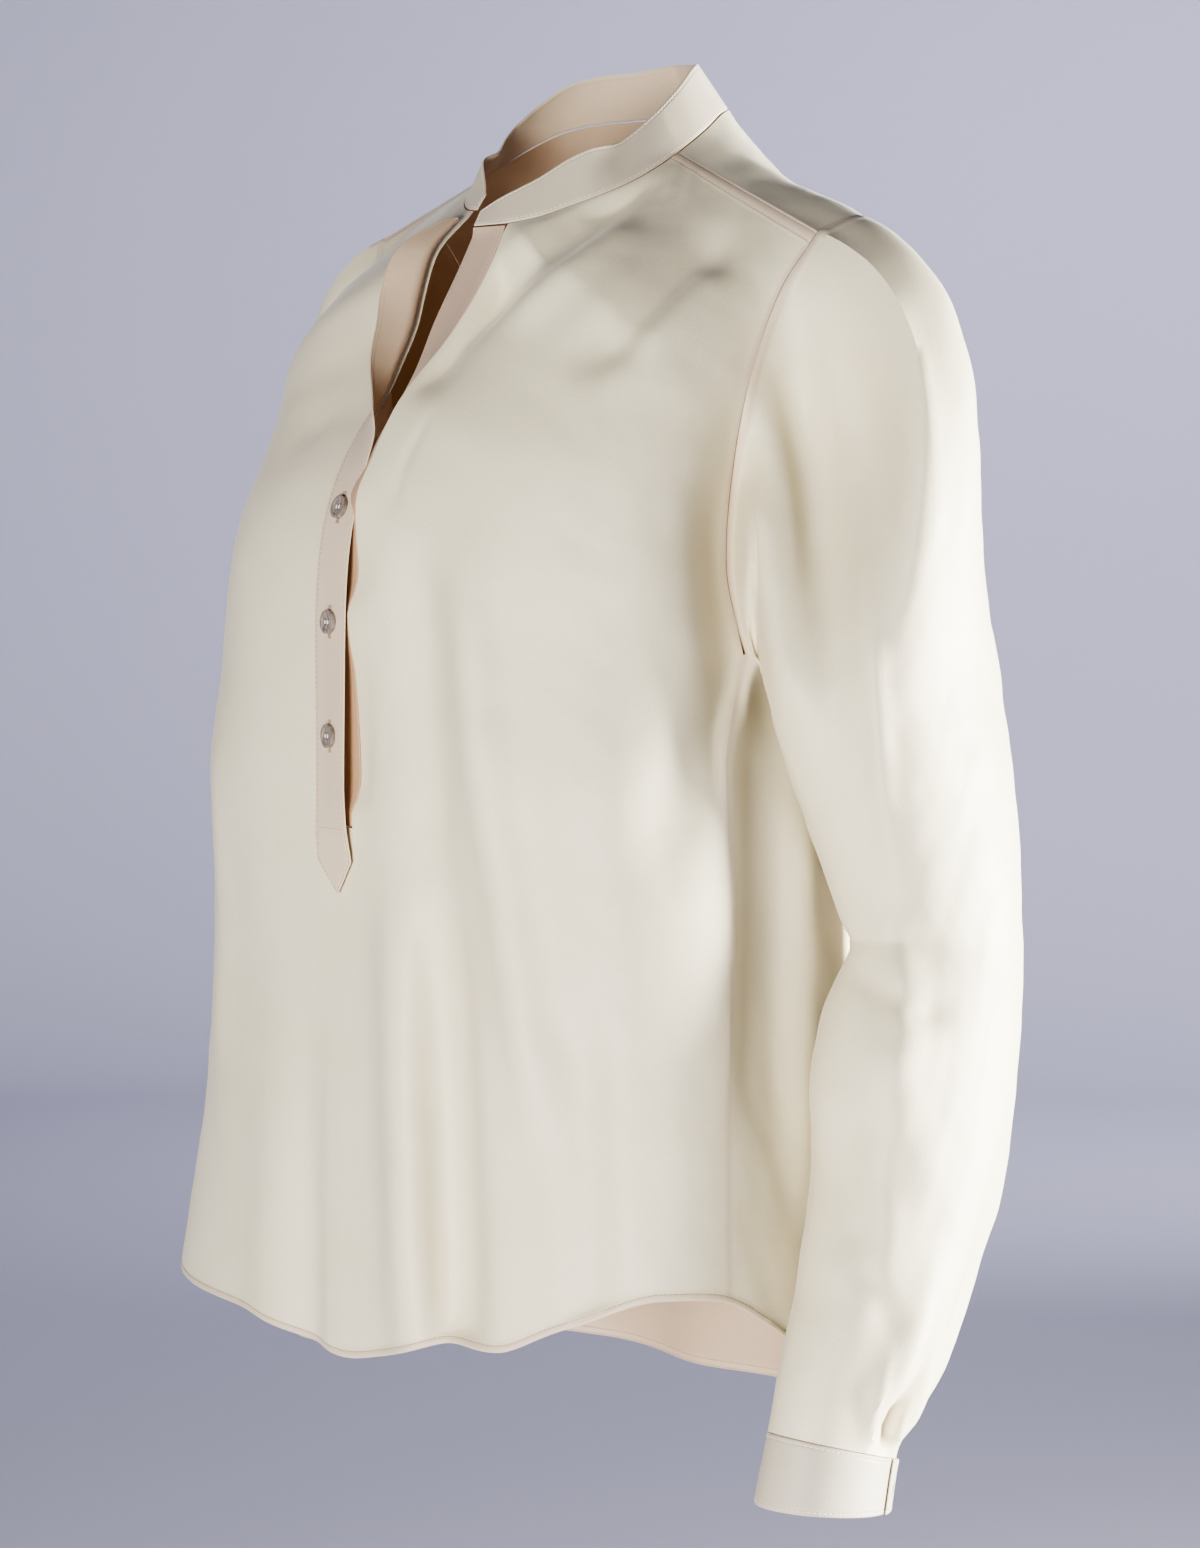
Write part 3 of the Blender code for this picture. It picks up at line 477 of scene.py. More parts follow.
def neck_points(angles):
    """Points of the neckline seam."""
    rows = read(NECKLINE, abs(angles))
    radius = np.where(angles > 0, rows[..., 0], rows[..., 2])
    height = np.where(angles > 0, rows[..., 1], rows[..., 3])
    turn = np.radians(angles)
    return np.stack([radius * np.sin(turn), NECK_Y - radius * np.cos(turn), height], -1)


def armhole(part, side):
    """The front or back armhole from the underarm up to the shoulder tip, with side 1 for the left."""
    underarm = body_points(np.array(90.0), np.array(UNDERARM_Z))
    if part == "front":
        points = np.array([underarm, *ARMHOLE_FRONT[::-1]])
    else:
        points = np.array([underarm, *ARMHOLE_BACK, ARMHOLE_FRONT[0]])
    points = points * (side, 1, 1)
    if side < 0:
        points[:, 2] += RIGHT_SHOULDER_RISE * np.clip((points[:, 2] - UNDERARM_Z) / -UNDERARM_Z, 0, 1)
    return points


def yoke(centre, side, bottom, fullness, dip=0.0):
    """Rows from the underarm up to the shoulder seam, between a centre line and an armhole."""
    along = np.concatenate([[0], np.cumsum(np.linalg.norm(np.diff(bottom, axis=0), axis=1))])
    along = (along / along[-1])[:, None]
    bulge = bottom - (bottom[0] * (1 - along) + bottom[-1] * along)
    rows = []
    for k in range(1, YOKE_ROWS + 1):
        share = k / YOKE_ROWS
        row = centre[k] * (1 - along) + side[k] * along + bulge * (1 - ease(fullness, 1, share))
        row[:, 2] -= (dip * DIP_UP * share ** 3 * (1 - share) * DIP_ACROSS * along * (1 - along) ** 2)[:, 0]
        rows.append(row)
    return np.array(rows)


print("centre front at the underarm:", body_points(np.array(0.0), np.array(UNDERARM_Z)).round(4))


# %% The front and back halves
def skirt(angles):
    """Body points from the hem up to the underarm, a column for each angle."""
    hem = read(HEM, angles)[:, 0]
    low = np.linspace(hem, SLIT_BOTTOM, SKIRT_ROWS + 1)
    high = np.linspace(SLIT_BOTTOM, UNDERARM_Z, CHEST_ROWS + 1)[1:, None] + 0 * hem
    heights = np.vstack([low, high])
    return body_points(angles[None, :] + 0 * heights, heights)


def slit_edge(heights, side):
    """Points of the slit's edge."""
    table = LEFT_EDGE if side > 0 else RIGHT_EDGE
    return np.column_stack([read(table, heights), heights])


def slit_angle():
    """The angle from the centre front to the slit's edge."""
    return math.degrees(math.atan(SLIT_HALF / TORSO[-2][3]))


def front_half(side):
    """Half of the front, from the slit's edge out to the side seam and up to the shoulder."""
    angles = np.linspace(slit_angle(), 90, HALF_COLUMNS + 1) * side
    low = skirt(angles)
    near_slit = np.linspace(1, 0, HALF_COLUMNS + 1)[:, None] ** 3
    for row in low[SKIRT_ROWS + 1:]:
        row += (slit_edge(row[:1, 2], side)[0] - row[0]) * near_slit
    table = LEFT_EDGE if side > 0 else RIGHT_EDGE
    opening = slit_edge(np.linspace(UNDERARM_Z, table[-1][0], 12), side)
    corner = math.degrees(math.atan2(abs(opening[-1][0]), NECK_Y - opening[-1][1]))
    neck = neck_points(np.linspace(corner, NECK_POINT_ANGLE, 7) * side)
    neck[0] = opening[-1]
    centre = np.vstack([arc_samples(opening, EDGE_ROWS + 1), arc_samples(neck, YOKE_ROWS - EDGE_ROWS + 1)[1:]])
    sides = arc_samples(armhole("front", side), YOKE_ROWS + 1)
    return np.concatenate([low, yoke(centre, sides, low[-1], FRONT_FULLNESS)])


def back_half(side):
    """Half of the back, from the spine out to the side seam and over the shoulder to the front seam."""
    low = skirt(np.linspace(180, 90, HALF_COLUMNS + 1) * side)
    spine = [low[-1][0], *map(np.array, SPINE), neck_points(np.array(180.0))]
    neck = neck_points(np.linspace(180, NECK_POINT_ANGLE, 7) * side)
    centre = np.vstack([arc_samples(spine, EDGE_ROWS + 1), arc_samples(neck, YOKE_ROWS - EDGE_ROWS + 1)[1:]])
    sides = arc_samples(armhole("back", side), YOKE_ROWS + 1)
    return np.concatenate([low, yoke(centre, sides, low[-1], BACK_FULLNESS, NAPE_DIP)])


def edge_at(front, heights):
    """The points at some heights on a front half's edge down the slit."""
    x, y, z = front[:NECK_CORNER_ROW + 1, 0].T
    return np.column_stack([np.interp(heights, z, x), np.interp(heights, z, y), heights])


def neck_at(front, back, angle):
    """The point at an angle on the neckline seam."""
    line = np.vstack([front[NECK_CORNER_ROW:, 0], back[:NECK_CORNER_ROW - 1:-1, 0]])
    angles = np.degrees(np.arctan2(abs(line[:, 0]), NECK_Y - line[:, 1]))
    if abs(angle) < angles[0]:
        return neck_points(np.array(float(angle)))
    return np.array([np.interp(abs(angle), angles, line[:, axis]) for axis in range(3)])


FRONTS = {side: front_half(side) for side in (1, -1)}
BACKS = {side: back_half(side) for side in (1, -1)}
print("front and back halves:", FRONTS[1].shape, BACKS[1].shape)

# %% [markdown]
# ## The sleeves
# Below the armhole a sleeve is a stack of rounds square to the arm. The cap is a set of smooth curves from the
# armhole seam down to the first round: they rise a little at the shoulder, and near the underarm they fall
# with the body's side, because two layers of cloth can't share one place. The sleeve's rows are worked out
# from the seam's own points, so the sleeve always meets the body there.


# %% Points of the sleeves
def sleeve_fold(angle, height):
    """How far the sleeve's cloth stands out in its broad folds."""
    total = 0.0
    for top, low, rise, width, top_z, full_z, end_z in SLEEVE_FOLDS:
        middle = top + ((low - top + 180) % 360 - 180) * ease(top_z, end_z, height)
        apart = (angle - middle + 180) % 360 - 180
        total = total + rise * bump(apart, width) * ease(top_z, full_z, height) * ease(end_z, full_z, height)
    return total


def arm_points(arm, heights, side, degrees, lift=0.0):
    """Points round a sleeve or cuff, square to the arm. 0 is the outer side and 90 the front."""
    x, y, half_width, half_depth = np.moveaxis(read(arm, heights), -1, 0)
    above, below = read(arm, heights + ARM_STEP), read(arm, heights - ARM_STEP)
    down = unit(np.stack([below[..., 0] - above[..., 0], below[..., 1] - above[..., 1],
                          np.full_like(x, -2 * ARM_STEP)], -1))
    out = unit(np.array([1.0, 0, 0]) - down * down[..., :1])
    fore = np.cross(down, out)
    turn = np.radians(degrees)
    reach = (1 + (sleeve_fold(degrees, heights) + lift) / half_width)[..., None]
    points = np.stack([x, y, heights], -1) + (out * (half_width * np.cos(turn))[..., None]
                                              + fore * (half_depth * np.sin(turn))[..., None]) * reach
    return points * (side, 1, 1)


def clear_of_body(points, clearance=SLEEVE_CLEARANCE):
    """Sleeve points, moved straight out of the body where they would press into it."""
    side_y = read(TORSO, points[..., 2])[..., 1]
    axis = np.stack([0 * side_y, side_y], -1)
    away = points[..., :2] - axis
    reach = np.linalg.norm(away, axis=-1)
    body = body_points(np.degrees(np.arctan2(points[..., 0], side_y - points[..., 1])), points[..., 2])
    spare = reach - np.linalg.norm(body[..., :2] - axis, axis=-1) - clearance
    push = SLEEVE_SOFTNESS * np.exp(np.minimum(spare / SLEEVE_SOFTNESS, 1) - 1) - spare
    grow = 1 + np.where(spare < SLEEVE_SOFTNESS, push, 0) / reach
    return np.concatenate([away * grow[..., None] + axis, points[..., 2:]], -1)


def arm_rings(arm, heights, side):
    """Whole rounds of a sleeve. High up, their underarm is turned forward to the body's side seam."""
    heights = np.asarray(heights, float)[:, None]
    shift = UNDERARM_SHIFT * ease(SHIFT_END, arm[0][0], heights)
    degrees = 360 * np.arange(SLEEVE_COLUMNS) / SLEEVE_COLUMNS + SHOULDER_OFFSET
    degrees = degrees - shift * bump(degrees - 180, SHIFT_SPREAD)
    return clear_of_body(arm_points(arm, heights + 0 * degrees, side, degrees))


def sleeve_grid(side, arm, front, back):
    """A sleeve from the armhole seam to the cuff seam, closed all round."""
    low = SKIRT_ROWS + CHEST_ROWS
    seam = np.concatenate([front[:low - 1:-1, -1], back[low + 1:-1, -1]])
    inner = np.concatenate([front[:low - 1:-1, -1 - FINE], back[low + 1:-1, -1 - FINE]])
    first, second = arm_rings(arm, [arm[0][0], arm[0][0] - 0.01], side)
    across = unit(seam - inner)
    under = np.array(UNDERARM_FALL) * (side, 1, 1)
    column = np.arange(SLEEVE_COLUMNS)
    from_top = abs((360 * column / SLEEVE_COLUMNS + 180) % 360 - 180)[:, None]
    back_share = ease(SLEEVE_COLUMNS / 2 - FINE, SLEEVE_COLUMNS / 2 + FINE, column)[:, None]
    drape = (np.array(FRONT_FALL) * (1 - back_share) + np.array(BACK_FALL) * back_share) * (side, 1, 1)
    start = across + (drape - across) * ease(*SIDE_TURNS, from_top)
    start = start + (under - start) * ease(*UNDERARM_TURNS, from_top)
    start[:, 2:] += CAP_LIFT * ease(*TOP_TURNS, from_top)
    chord = np.linalg.norm(first - seam, axis=1, keepdims=True)
    rise = unit(start) * chord * read(CAP_ROUND, from_top[:, 0])
    fall = unit(second - first) * chord * CAP_FALL
    rows = []
    for t in np.arange(CAP_ROWS) / CAP_ROWS:
        s = t * t * (3 - 2 * t)
        row = seam * (1 - s) + first * s + rise * t * (1 - t) ** 2 - fall * t * t * (1 - t)
        spare = ease(SLEEVE_COLUMNS / 2 - 2 * FINE, SLEEVE_COLUMNS / 2 + 2 * FINE, column) * (1 - t)
        clear = clear_of_body(row, SLEEVE_CLEARANCE + (CAP_CLEARANCE - SLEEVE_CLEARANCE) * spare)
        rows.append(row + (clear - row) * ease(*CLEAR_TURNS, from_top) * ease(0, 1 / CAP_ROWS * FINE, t))
    rows[0] = seam + unit(rows[1] - seam) * SEAM_GAP
    heights = np.linspace(arm[0][0], CUFF_TOP, ARM_ROWS + 1)
    return np.array([*rows, *arm_rings(arm, heights, side)])


SLEEVES = {side: sleeve_grid(side, LEFT_ARM if side > 0 else RIGHT_ARM, FRONTS[side], BACKS[side])
           for side in (1, -1)}
print("sleeves:", SLEEVES[1].shape)

# %% [markdown]
# ## Soften the fronts
# The rounds below and the stretched rows above meet in a slight bend, which cloth wouldn't have, so the rows
# near it are averaged a few times. The silk's weight also pulls the left edge of the slit into a wave, and
# the placket stands open in two long lenses between its buttons. The strips are made after this, so they follow.


# %% Ease the bend and let the slit's left edge wave
EDGE_WAVE = (
    # height, opening
    (-0.1500, 0.0), (-0.1700, -0.0010), (-0.1860, -0.0034), (-0.2090, 0.0), (-0.2280, 0.0026), (-0.2390, 0.0006),
    (-0.2490, -0.0030), (-0.2640, -0.0018), (-0.2770, 0.0006), (-0.2940, 0.0020), (-0.3180, 0.0034),
    (-0.3340, 0.0038), (-0.3450, 0.0022), (-0.3550, -0.0010), (-0.3620, 0.0),
)
WAVE_WIDTH = 0.024
WAVE_WAY = (0.71, 0.71, 0)
BEND_ROWS = (26, 8)  # rows from the bend, from where the easing starts to where it is full
SIDE_COLUMNS = (2, 24)  # columns from the side seam
BEND_ROUNDS = 70


def waved(grid):
    """A front half with its slit edge in waves."""
    across = np.cumsum(np.linalg.norm(np.diff(grid, axis=1, prepend=grid[:, :1]), axis=2), axis=1)
    opening = read(EDGE_WAVE, np.clip(grid[..., 2], EDGE_WAVE[-1][0], EDGE_WAVE[0][0]))[..., 0]
    return grid + np.array(WAVE_WAY) * (opening * ease(WAVE_WIDTH, 0, across))[..., None]


def eased(grid):
    """A half with the bend between its skirt and its yoke made soft, away from the side seam."""
    bend = SKIRT_ROWS + CHEST_ROWS
    row = abs(np.arange(len(grid)) - bend)[:, None, None]
    column = np.arange(grid.shape[1])[None, :, None]
    held, free = grid.shape[1] - np.array(SIDE_COLUMNS)
    weight = 0.5 * ease(*BEND_ROWS, row) * ease(held, free, column)
    grid = grid.copy()
    for _ in range(BEND_ROUNDS):
        grid[1:-1] += weight[1:-1] * ((grid[2:] + grid[:-2]) / 2 - grid[1:-1])
    return grid


FRONTS = {1: waved(eased(FRONTS[1])), -1: eased(FRONTS[-1])}
print("fronts eased over", 2 * BEND_ROWS[0], "rows")

# %% [markdown]
# ## Cuffs, collar and placket strips
# These narrow pieces are cut as straight bands. The collar leans in towards the neck and ends in two low round
# corners. The upper strip is stitched on the right front: it lies flat over the button line, and above it the
# strip rolls outward like a small lapel. The lower strip lies behind it.


# %% Points of the cuffs and the collar
CUFF_COLUMNS = 168
CUFF_ROWS = 12
CUFF_LIFT = 0.0015
CUFF_CLOSE = 355  # degrees from the cuff's start, where the lapped end is lifted all the way
COLLAR_COLUMNS = 228
COLLAR_ROWS = 12


def cuff_grid(side, arm):
    """A cuff, open at the back of the wrist, with its end lapped outside."""
    heights = np.linspace(arm[-1][0], CUFF_TOP - SEAM_GAP, CUFF_ROWS + 1)[:, None]
    swept = (360 + CUFF_LAP) * np.arange(CUFF_COLUMNS + 1) / CUFF_COLUMNS
    lift = CUFF_LIFT * ease(CUFF_CLOSE - CUFF_LAP, CUFF_CLOSE, swept)
    return arm_points(arm, heights + 0 * swept, side, CUFF_START + swept + 0 * heights, lift)


def collar_grid():
    """The collar band from its left end round the nape to its right end."""
    angles = np.concatenate([np.linspace(COLLAR_LEFT_END, 180, COLLAR_COLUMNS // 2 + 1),
                             np.linspace(-180, -COLLAR_RIGHT_END, COLLAR_COLUMNS // 2 + 1)[1:]])
    sides = [1 if angle > 0 else -1 for angle in angles]
    seam = np.array([neck_at(FRONTS[s], BACKS[s], angle) for s, angle in zip(sides, angles)])
    along = np.concatenate([[0], np.cumsum(np.linalg.norm(np.diff(seam, axis=0), axis=1))])
    height = read(COLLAR_HEIGHTS, np.minimum(along, along[-1] - along))[:, 0]
    lean, turn = np.radians(read(COLLAR_LEANS, abs(angles))[:, 0]), np.radians(angles)
    rise = np.stack([-np.sin(turn) * np.sin(lean), np.cos(turn) * np.sin(lean), np.cos(lean)], -1)
    foot = SEAM_GAP + BAND_THICKNESS * np.sin(lean)
    share = (np.arange(COLLAR_ROWS + 1) / COLLAR_ROWS)[:, None]
    return seam + rise * (foot + (height - foot) * share)[..., None]


print("bands:", CUFF_COLUMNS, "columns round a cuff and", COLLAR_COLUMNS, "along the collar")


# %% Points of the placket strips
STRIP_COLUMNS = 24
TOP_STRIP_ROWS = 180
BOX_ROWS = 12
UNDER_STRIP_ROWS = 120


def top_strip_rows(heights):
    """Rows across the top strip, from its lap on the right front to its free edge."""
    heights = np.asarray(heights, float)
    turned, width = np.moveaxis(read(TOP_TURN, heights), -1, 0)
    seam = edge_at(FRONTS[-1], heights)
    near = [edge_at(FRONTS[-1], heights + step)[:, 1] for step in (EDGE_STEP, -EDGE_STEP)]
    lift = STRIP_LIFT * np.hypot(1, (near[0] - near[1]) / (2 * EDGE_STEP))
    narrow = 1 - np.maximum(0, (BOX_SHOULDER - heights) / (BOX_SHOULDER - BOX_TIP)) * BOX_POINT
    share = (np.arange(STRIP_COLUMNS) + 0.5) / STRIP_COLUMNS
    heading = np.radians(turned[:, None] * np.minimum(1, share / TURN_LENGTH))
    step = (width / STRIP_COLUMNS)[:, None]
    x = np.concatenate([0 * step, np.cumsum(step * np.cos(heading), axis=1)], 1) - STRIP_LAP
    y = np.concatenate([0 * step, np.cumsum(-step * np.sin(heading), axis=1)], 1)
    middle = ((width - STRIP_LAP) / 2)[:, None]
    offset = np.stack([middle + (x - middle) * narrow[:, None], y - lift[:, None], 0 * x], -1)
    return seam[:, None] + offset


def top_strip_grid():
    """The top strip from its pointed box end up to the neck."""
    heights = np.concatenate([np.linspace(BOX_TIP, BOX_SHOULDER, BOX_ROWS + 1),
                              np.linspace(BOX_SHOULDER, TOP_STRIP_TOP, TOP_STRIP_ROWS + 1)[1:]])
    return top_strip_rows(heights)


def under_strip_grid():
    """The under strip, from the left edge of the slit across behind the top strip, up to the collar."""
    heights = np.linspace(SLIT_BOTTOM + SEAM_GAP * 3, UNDER_STRIP_END, UNDER_STRIP_ROWS + 1)
    seam = edge_at(FRONTS[1], heights)
    free = np.column_stack([read(UNDER_FREE_EDGE, heights), heights])
    seam = seam + (free - seam) * UNDER_GAP / STRIP_WIDTH
    share = (np.arange(STRIP_COLUMNS + 1) / STRIP_COLUMNS)[:, None]
    return seam[:, None] + (free - seam)[:, None] * share


def arm_of(side):
    """The arm's table for a side."""
    return LEFT_ARM if side > 0 else RIGHT_ARM


GRIDS = {"collar": collar_grid(), "placket_top": top_strip_grid(), "placket_under": under_strip_grid(),
         "cuff_left": cuff_grid(1, arm_of(1)), "cuff_right": cuff_grid(-1, arm_of(-1))}
for name, grid in GRIDS.items():
    print(name, grid.shape[:2])

# %% [markdown]
# ## Creases
# Silk crepe is limp, so it breaks into soft troughs and ridges that run between the places where it is held:
# the collar seam, the armhole, the elbow and the cuff. Each crease here is a line drawn on a flat view of the
# blouse, with a rise and a width. Points of cloth near the line move out or in along their own normals. The
# far sides have similar creases, each drawn on a view from that side.


# %% Tables of creases
VIEWS = {"near": 50, "left": 90, "behind_left": 140, "behind": 180, "behind_right": 230, "right": 270, "far": 310,
         "ahead": 0}
FRONT_CREASES = (
    # view, rise, half_width, points (across the view, height)
    ("near", -0.0070, 0.0120, ((0.056, -0.165), (0.060, -0.200), (0.063, -0.235), (0.065, -0.262), (0.068, -0.300),
                               (0.070, -0.360))),
    ("near", -0.0092, 0.0115, ((0.076, -0.044), (0.047, -0.068), (0.029, -0.086), (0.012, -0.104), (-0.020, -0.130))),
    ("near", 0.0044, 0.0095, ((0.064, -0.066), (0.040, -0.090), (0.015, -0.118))),
    ("near", -0.0080, 0.0102, ((0.036, -0.014), (0.006, -0.032), (-0.020, -0.052), (-0.037, -0.063), (-0.055, -0.081),
                               (-0.080, -0.108))),
    ("near", 0.0048, 0.0085, ((0.026, -0.043), (0.000, -0.061), (-0.026, -0.082), (-0.052, -0.102))),
    ("near", 0.0038, 0.0070, ((0.000, -0.026), (-0.021, -0.039), (-0.042, -0.056), (-0.059, -0.073))),
    ("near", -0.0062, 0.0085, ((-0.041, -0.059), (-0.057, -0.074), (-0.071, -0.098), (-0.088, -0.126),
                               (-0.100, -0.138))),
    ("near", 0.0052, 0.0130, ((-0.108, -0.380), (-0.102, -0.450), (-0.100, -0.560), (-0.098, -0.640))),
    ("near", -0.0085, 0.0120, ((-0.086, -0.350), (-0.078, -0.440), (-0.074, -0.560), (-0.072, -0.670))),
    ("near", -0.0075, 0.0130, ((-0.098, -0.200), (-0.093, -0.260), (-0.088, -0.330), (-0.084, -0.400))),
    ("near", 0.0092, 0.0125, ((-0.072, -0.190), (-0.066, -0.250), (-0.058, -0.330), (-0.046, -0.400), (-0.036, -0.470),
                              (-0.030, -0.540))),
    ("near", -0.0045, 0.0130, ((-0.012, -0.430), (-0.006, -0.520), (-0.004, -0.640))),
    ("near", -0.0012, 0.0030, ((-0.088, -0.145), (-0.103, -0.172), (-0.107, -0.196))),
    ("near", 0.0010, 0.0028, ((0.038, -0.005), (0.034, -0.014), (0.028, -0.026))),
    ("near", 0.0011, 0.0030, ((0.044, -0.009), (0.040, -0.018), (0.034, -0.031))),
    ("near", 0.0009, 0.0030, ((0.051, -0.013), (0.048, -0.022), (0.044, -0.035))),
    ("ahead", -0.0010, 0.0040, ((-0.090, -0.152), (-0.070, -0.155), (-0.052, -0.150))),
    ("far", -0.0035, 0.0110, ((-0.074, -0.040), (-0.045, -0.072), (-0.018, -0.104))),
    ("far", -0.0060, 0.0100, ((-0.056, -0.190), (-0.061, -0.240), (-0.068, -0.330))),
    ("far", 0.0030, 0.0160, ((0.050, -0.300), (0.040, -0.400), (0.034, -0.520))),
)
BACK_CREASES = (
    ("behind", -0.0030, 0.0120, ((-0.110, -0.040), (-0.080, -0.090), (-0.040, -0.130))),
    ("behind", -0.0028, 0.0120, ((0.112, -0.036), (0.078, -0.085), (0.044, -0.118))),
    ("behind", 0.0026, 0.0180, ((-0.120, -0.120), (-0.080, -0.210), (-0.060, -0.330))),
    ("behind", 0.0030, 0.0180, ((0.118, -0.130), (0.084, -0.220), (0.052, -0.350))),
    ("behind", -0.0034, 0.0140, ((-0.020, -0.180), (-0.028, -0.300), (-0.020, -0.450))),
    ("behind", -0.0030, 0.0150, ((0.110, -0.200), (0.120, -0.320), (0.126, -0.460))),
    ("behind", -0.0030, 0.0150, ((-0.118, -0.210), (-0.126, -0.330), (-0.140, -0.470))),
    ("left", -0.0050, 0.0120, ((-0.055, -0.300), (-0.060, -0.400), (-0.072, -0.520))),
    ("left", 0.0040, 0.0120, ((-0.020, -0.330), (-0.022, -0.430), (-0.030, -0.560))),
    ("right", -0.0050, 0.0120, ((0.055, -0.300), (0.060, -0.390), (0.074, -0.520))),
)
LEFT_SLEEVE_CREASES = (
    ("near", -0.0055, 0.0095, ((0.096, -0.088), (0.100, -0.128), (0.108, -0.180), (0.114, -0.231), (0.117, -0.281),
                               (0.120, -0.330))),
    ("near", 0.0036, 0.0060, ((0.107, -0.060), (0.110, -0.085), (0.117, -0.113), (0.127, -0.152), (0.133, -0.201),
                              (0.136, -0.261), (0.143, -0.341), (0.148, -0.392))),
    ("near", 0.0050, 0.0080, ((0.078, -0.170), (0.082, -0.221), (0.087, -0.255), (0.096, -0.300))),
    ("near", -0.0030, 0.0070, ((0.120, -0.424), (0.135, -0.433), (0.158, -0.446), (0.182, -0.450))),
    ("near", 0.0036, 0.0100, ((0.142, -0.385), (0.151, -0.422), (0.153, -0.461), (0.145, -0.495))),
    ("near", -0.0030, 0.0110, ((0.119, -0.490), (0.125, -0.531), (0.131, -0.575))),
    ("near", 0.0022, 0.0100, ((0.136, -0.500), (0.142, -0.550), (0.147, -0.600))),
    ("near", -0.0013, 0.0060, ((0.125, -0.565), (0.140, -0.588), (0.150, -0.612))),
    ("behind_left", -0.0040, 0.0090, ((0.120, -0.395), (0.150, -0.415), (0.180, -0.410))),
    ("behind_left", 0.0035, 0.0110, ((0.130, -0.360), (0.150, -0.385), (0.175, -0.380))),
    ("behind_left", -0.0035, 0.0100, ((0.140, -0.200), (0.150, -0.290), (0.160, -0.370))),
    ("behind_left", 0.0030, 0.0110, ((0.160, -0.440), (0.170, -0.520), (0.180, -0.600))),
    ("behind", -0.0040, 0.0090, ((-0.205, -0.300), (-0.220, -0.350), (-0.235, -0.400))),
    # pleats, with the side that is raised: 1 is to the left of the line's own direction
    ("near", 0.0030, 0.0070, ((0.146, -0.605), (0.144, -0.625), (0.138, -0.645), (0.133, -0.668)), -1),
    ("near", -0.0030, 0.0055, ((0.147, -0.625), (0.143, -0.645), (0.138, -0.668)), 1),
    ("near", 0.0024, 0.0042, ((0.160, -0.635), (0.153, -0.651), (0.147, -0.668)), -1),
)


OTHER_SIDE = {"near": "far", "behind_left": "behind_right", "behind": "behind"}
OTHER_RISE = 0.8
OTHER_WIDTH = 1.1
OTHER_DROP = 0.006


def mirrored(creases):
    """The same creases on the other side of the blouse, a little softer and lower."""
    return tuple((OTHER_SIDE[view], rise * OTHER_RISE, half_width * OTHER_WIDTH,
                  tuple((-across, z - OTHER_DROP) for across, z in line), *(-hand for hand in pleat))
                 for view, rise, half_width, line, *pleat in creases)


SLEEVE_CREASES = {1: LEFT_SLEEVE_CREASES, -1: mirrored(LEFT_SLEEVE_CREASES)}
print("creases:", len(FRONT_CREASES), len(BACK_CREASES), len(SLEEVE_CREASES[1]), len(SLEEVE_CREASES[-1]))


# %% Move points out along creases
CREASE_END = 0.25  # the share of a crease's length in which it starts or ends
PLEAT_END = 0.6
FACING = (-0.05, 0.25)  # how much a point has to face the view that the crease is drawn on


def along_line(points, line):
    """The distance from points to a bent line, how far along it from 0 to 1 they lie, and on which side."""
    line = np.array(line, float)
    lengths = np.concatenate([[0], np.cumsum(np.linalg.norm(np.diff(line, axis=0), axis=1))])
    best, place, hand = np.full(points.shape[:-1], 1e9), np.zeros(points.shape[:-1]), np.zeros(points.shape[:-1])
    for k in range(len(line) - 1):
        run = line[k + 1] - line[k]
        t = np.clip(((points - line[k]) @ run) / (run @ run), 0, 1)
        away = np.linalg.norm(points - line[k] - t[..., None] * run, axis=-1)
        nearer = away < best
        best = np.where(nearer, away, best)
        place = np.where(nearer, (lengths[k] + t * (lengths[k + 1] - lengths[k])) / lengths[-1], place)
        apart = points - line[k]
        hand = np.where(nearer, run[0] * apart[..., 1] - run[1] * apart[..., 0], hand)  # along, then up
    return best, place, np.sign(hand)


def normals_of(grid, closed=False):
    """Outward normals of a grid of points."""
    if closed:
        across = np.roll(grid, -1, axis=1) - np.roll(grid, 1, axis=1)
    else:
        across = np.gradient(grid, axis=1)
    return unit(np.cross(across, np.gradient(grid, axis=0)))


def creased(grid, outward, creases):
    """How far each point of a grid stands out in its drawn creases."""
    total = np.zeros(grid.shape[:2])
    for view, rise, half_width, line, *pleat in creases:
        turn = math.radians(VIEWS[view])
        across = grid[..., 0] * math.cos(turn) + grid[..., 1] * math.sin(turn)
        facing = outward @ np.array([math.sin(turn), -math.cos(turn), 0])
        away, place, hand = along_line(np.stack([across, grid[..., 2]], -1), line)
        taper = ease(0, CREASE_END, place) * ease(1, 1 - CREASE_END, place)
        if pleat:
            taper = ease(0, PLEAT_END, place) * (hand == pleat[0])
        total += rise * bump(away, half_width) * taper * ease(*FACING, facing)
    return total


print("the deepest crease of the front:", min(crease[1] for crease in FRONT_CREASES), "m")

# %% [markdown]
# ## From points to sheets of silk
# A sheet is made as a grid of square faces. The grid is the outer face. Solidify gives the cloth its
# thickness behind it, so the outer face stays where the solid's is. Every sheet carries a flat map in metres:
# how far each point lies along the rows and up the columns, so a weave or a print could follow the cloth. At
# a cut edge the wall turns square, and smooth shading would bend the light there. So shading is smooth only
# where two faces meet at less than the rim's angle.


# %% Make one sheet from grids
def trunk_axis(point):
    """The nearest point of the upright line through the body."""
    return Vector((0, -0.05, min(point.z, -0.10)))


def neck_axis(point):
    """The nearest point of the upright line through the neck."""
    return Vector((0, NECK_Y, point.z))


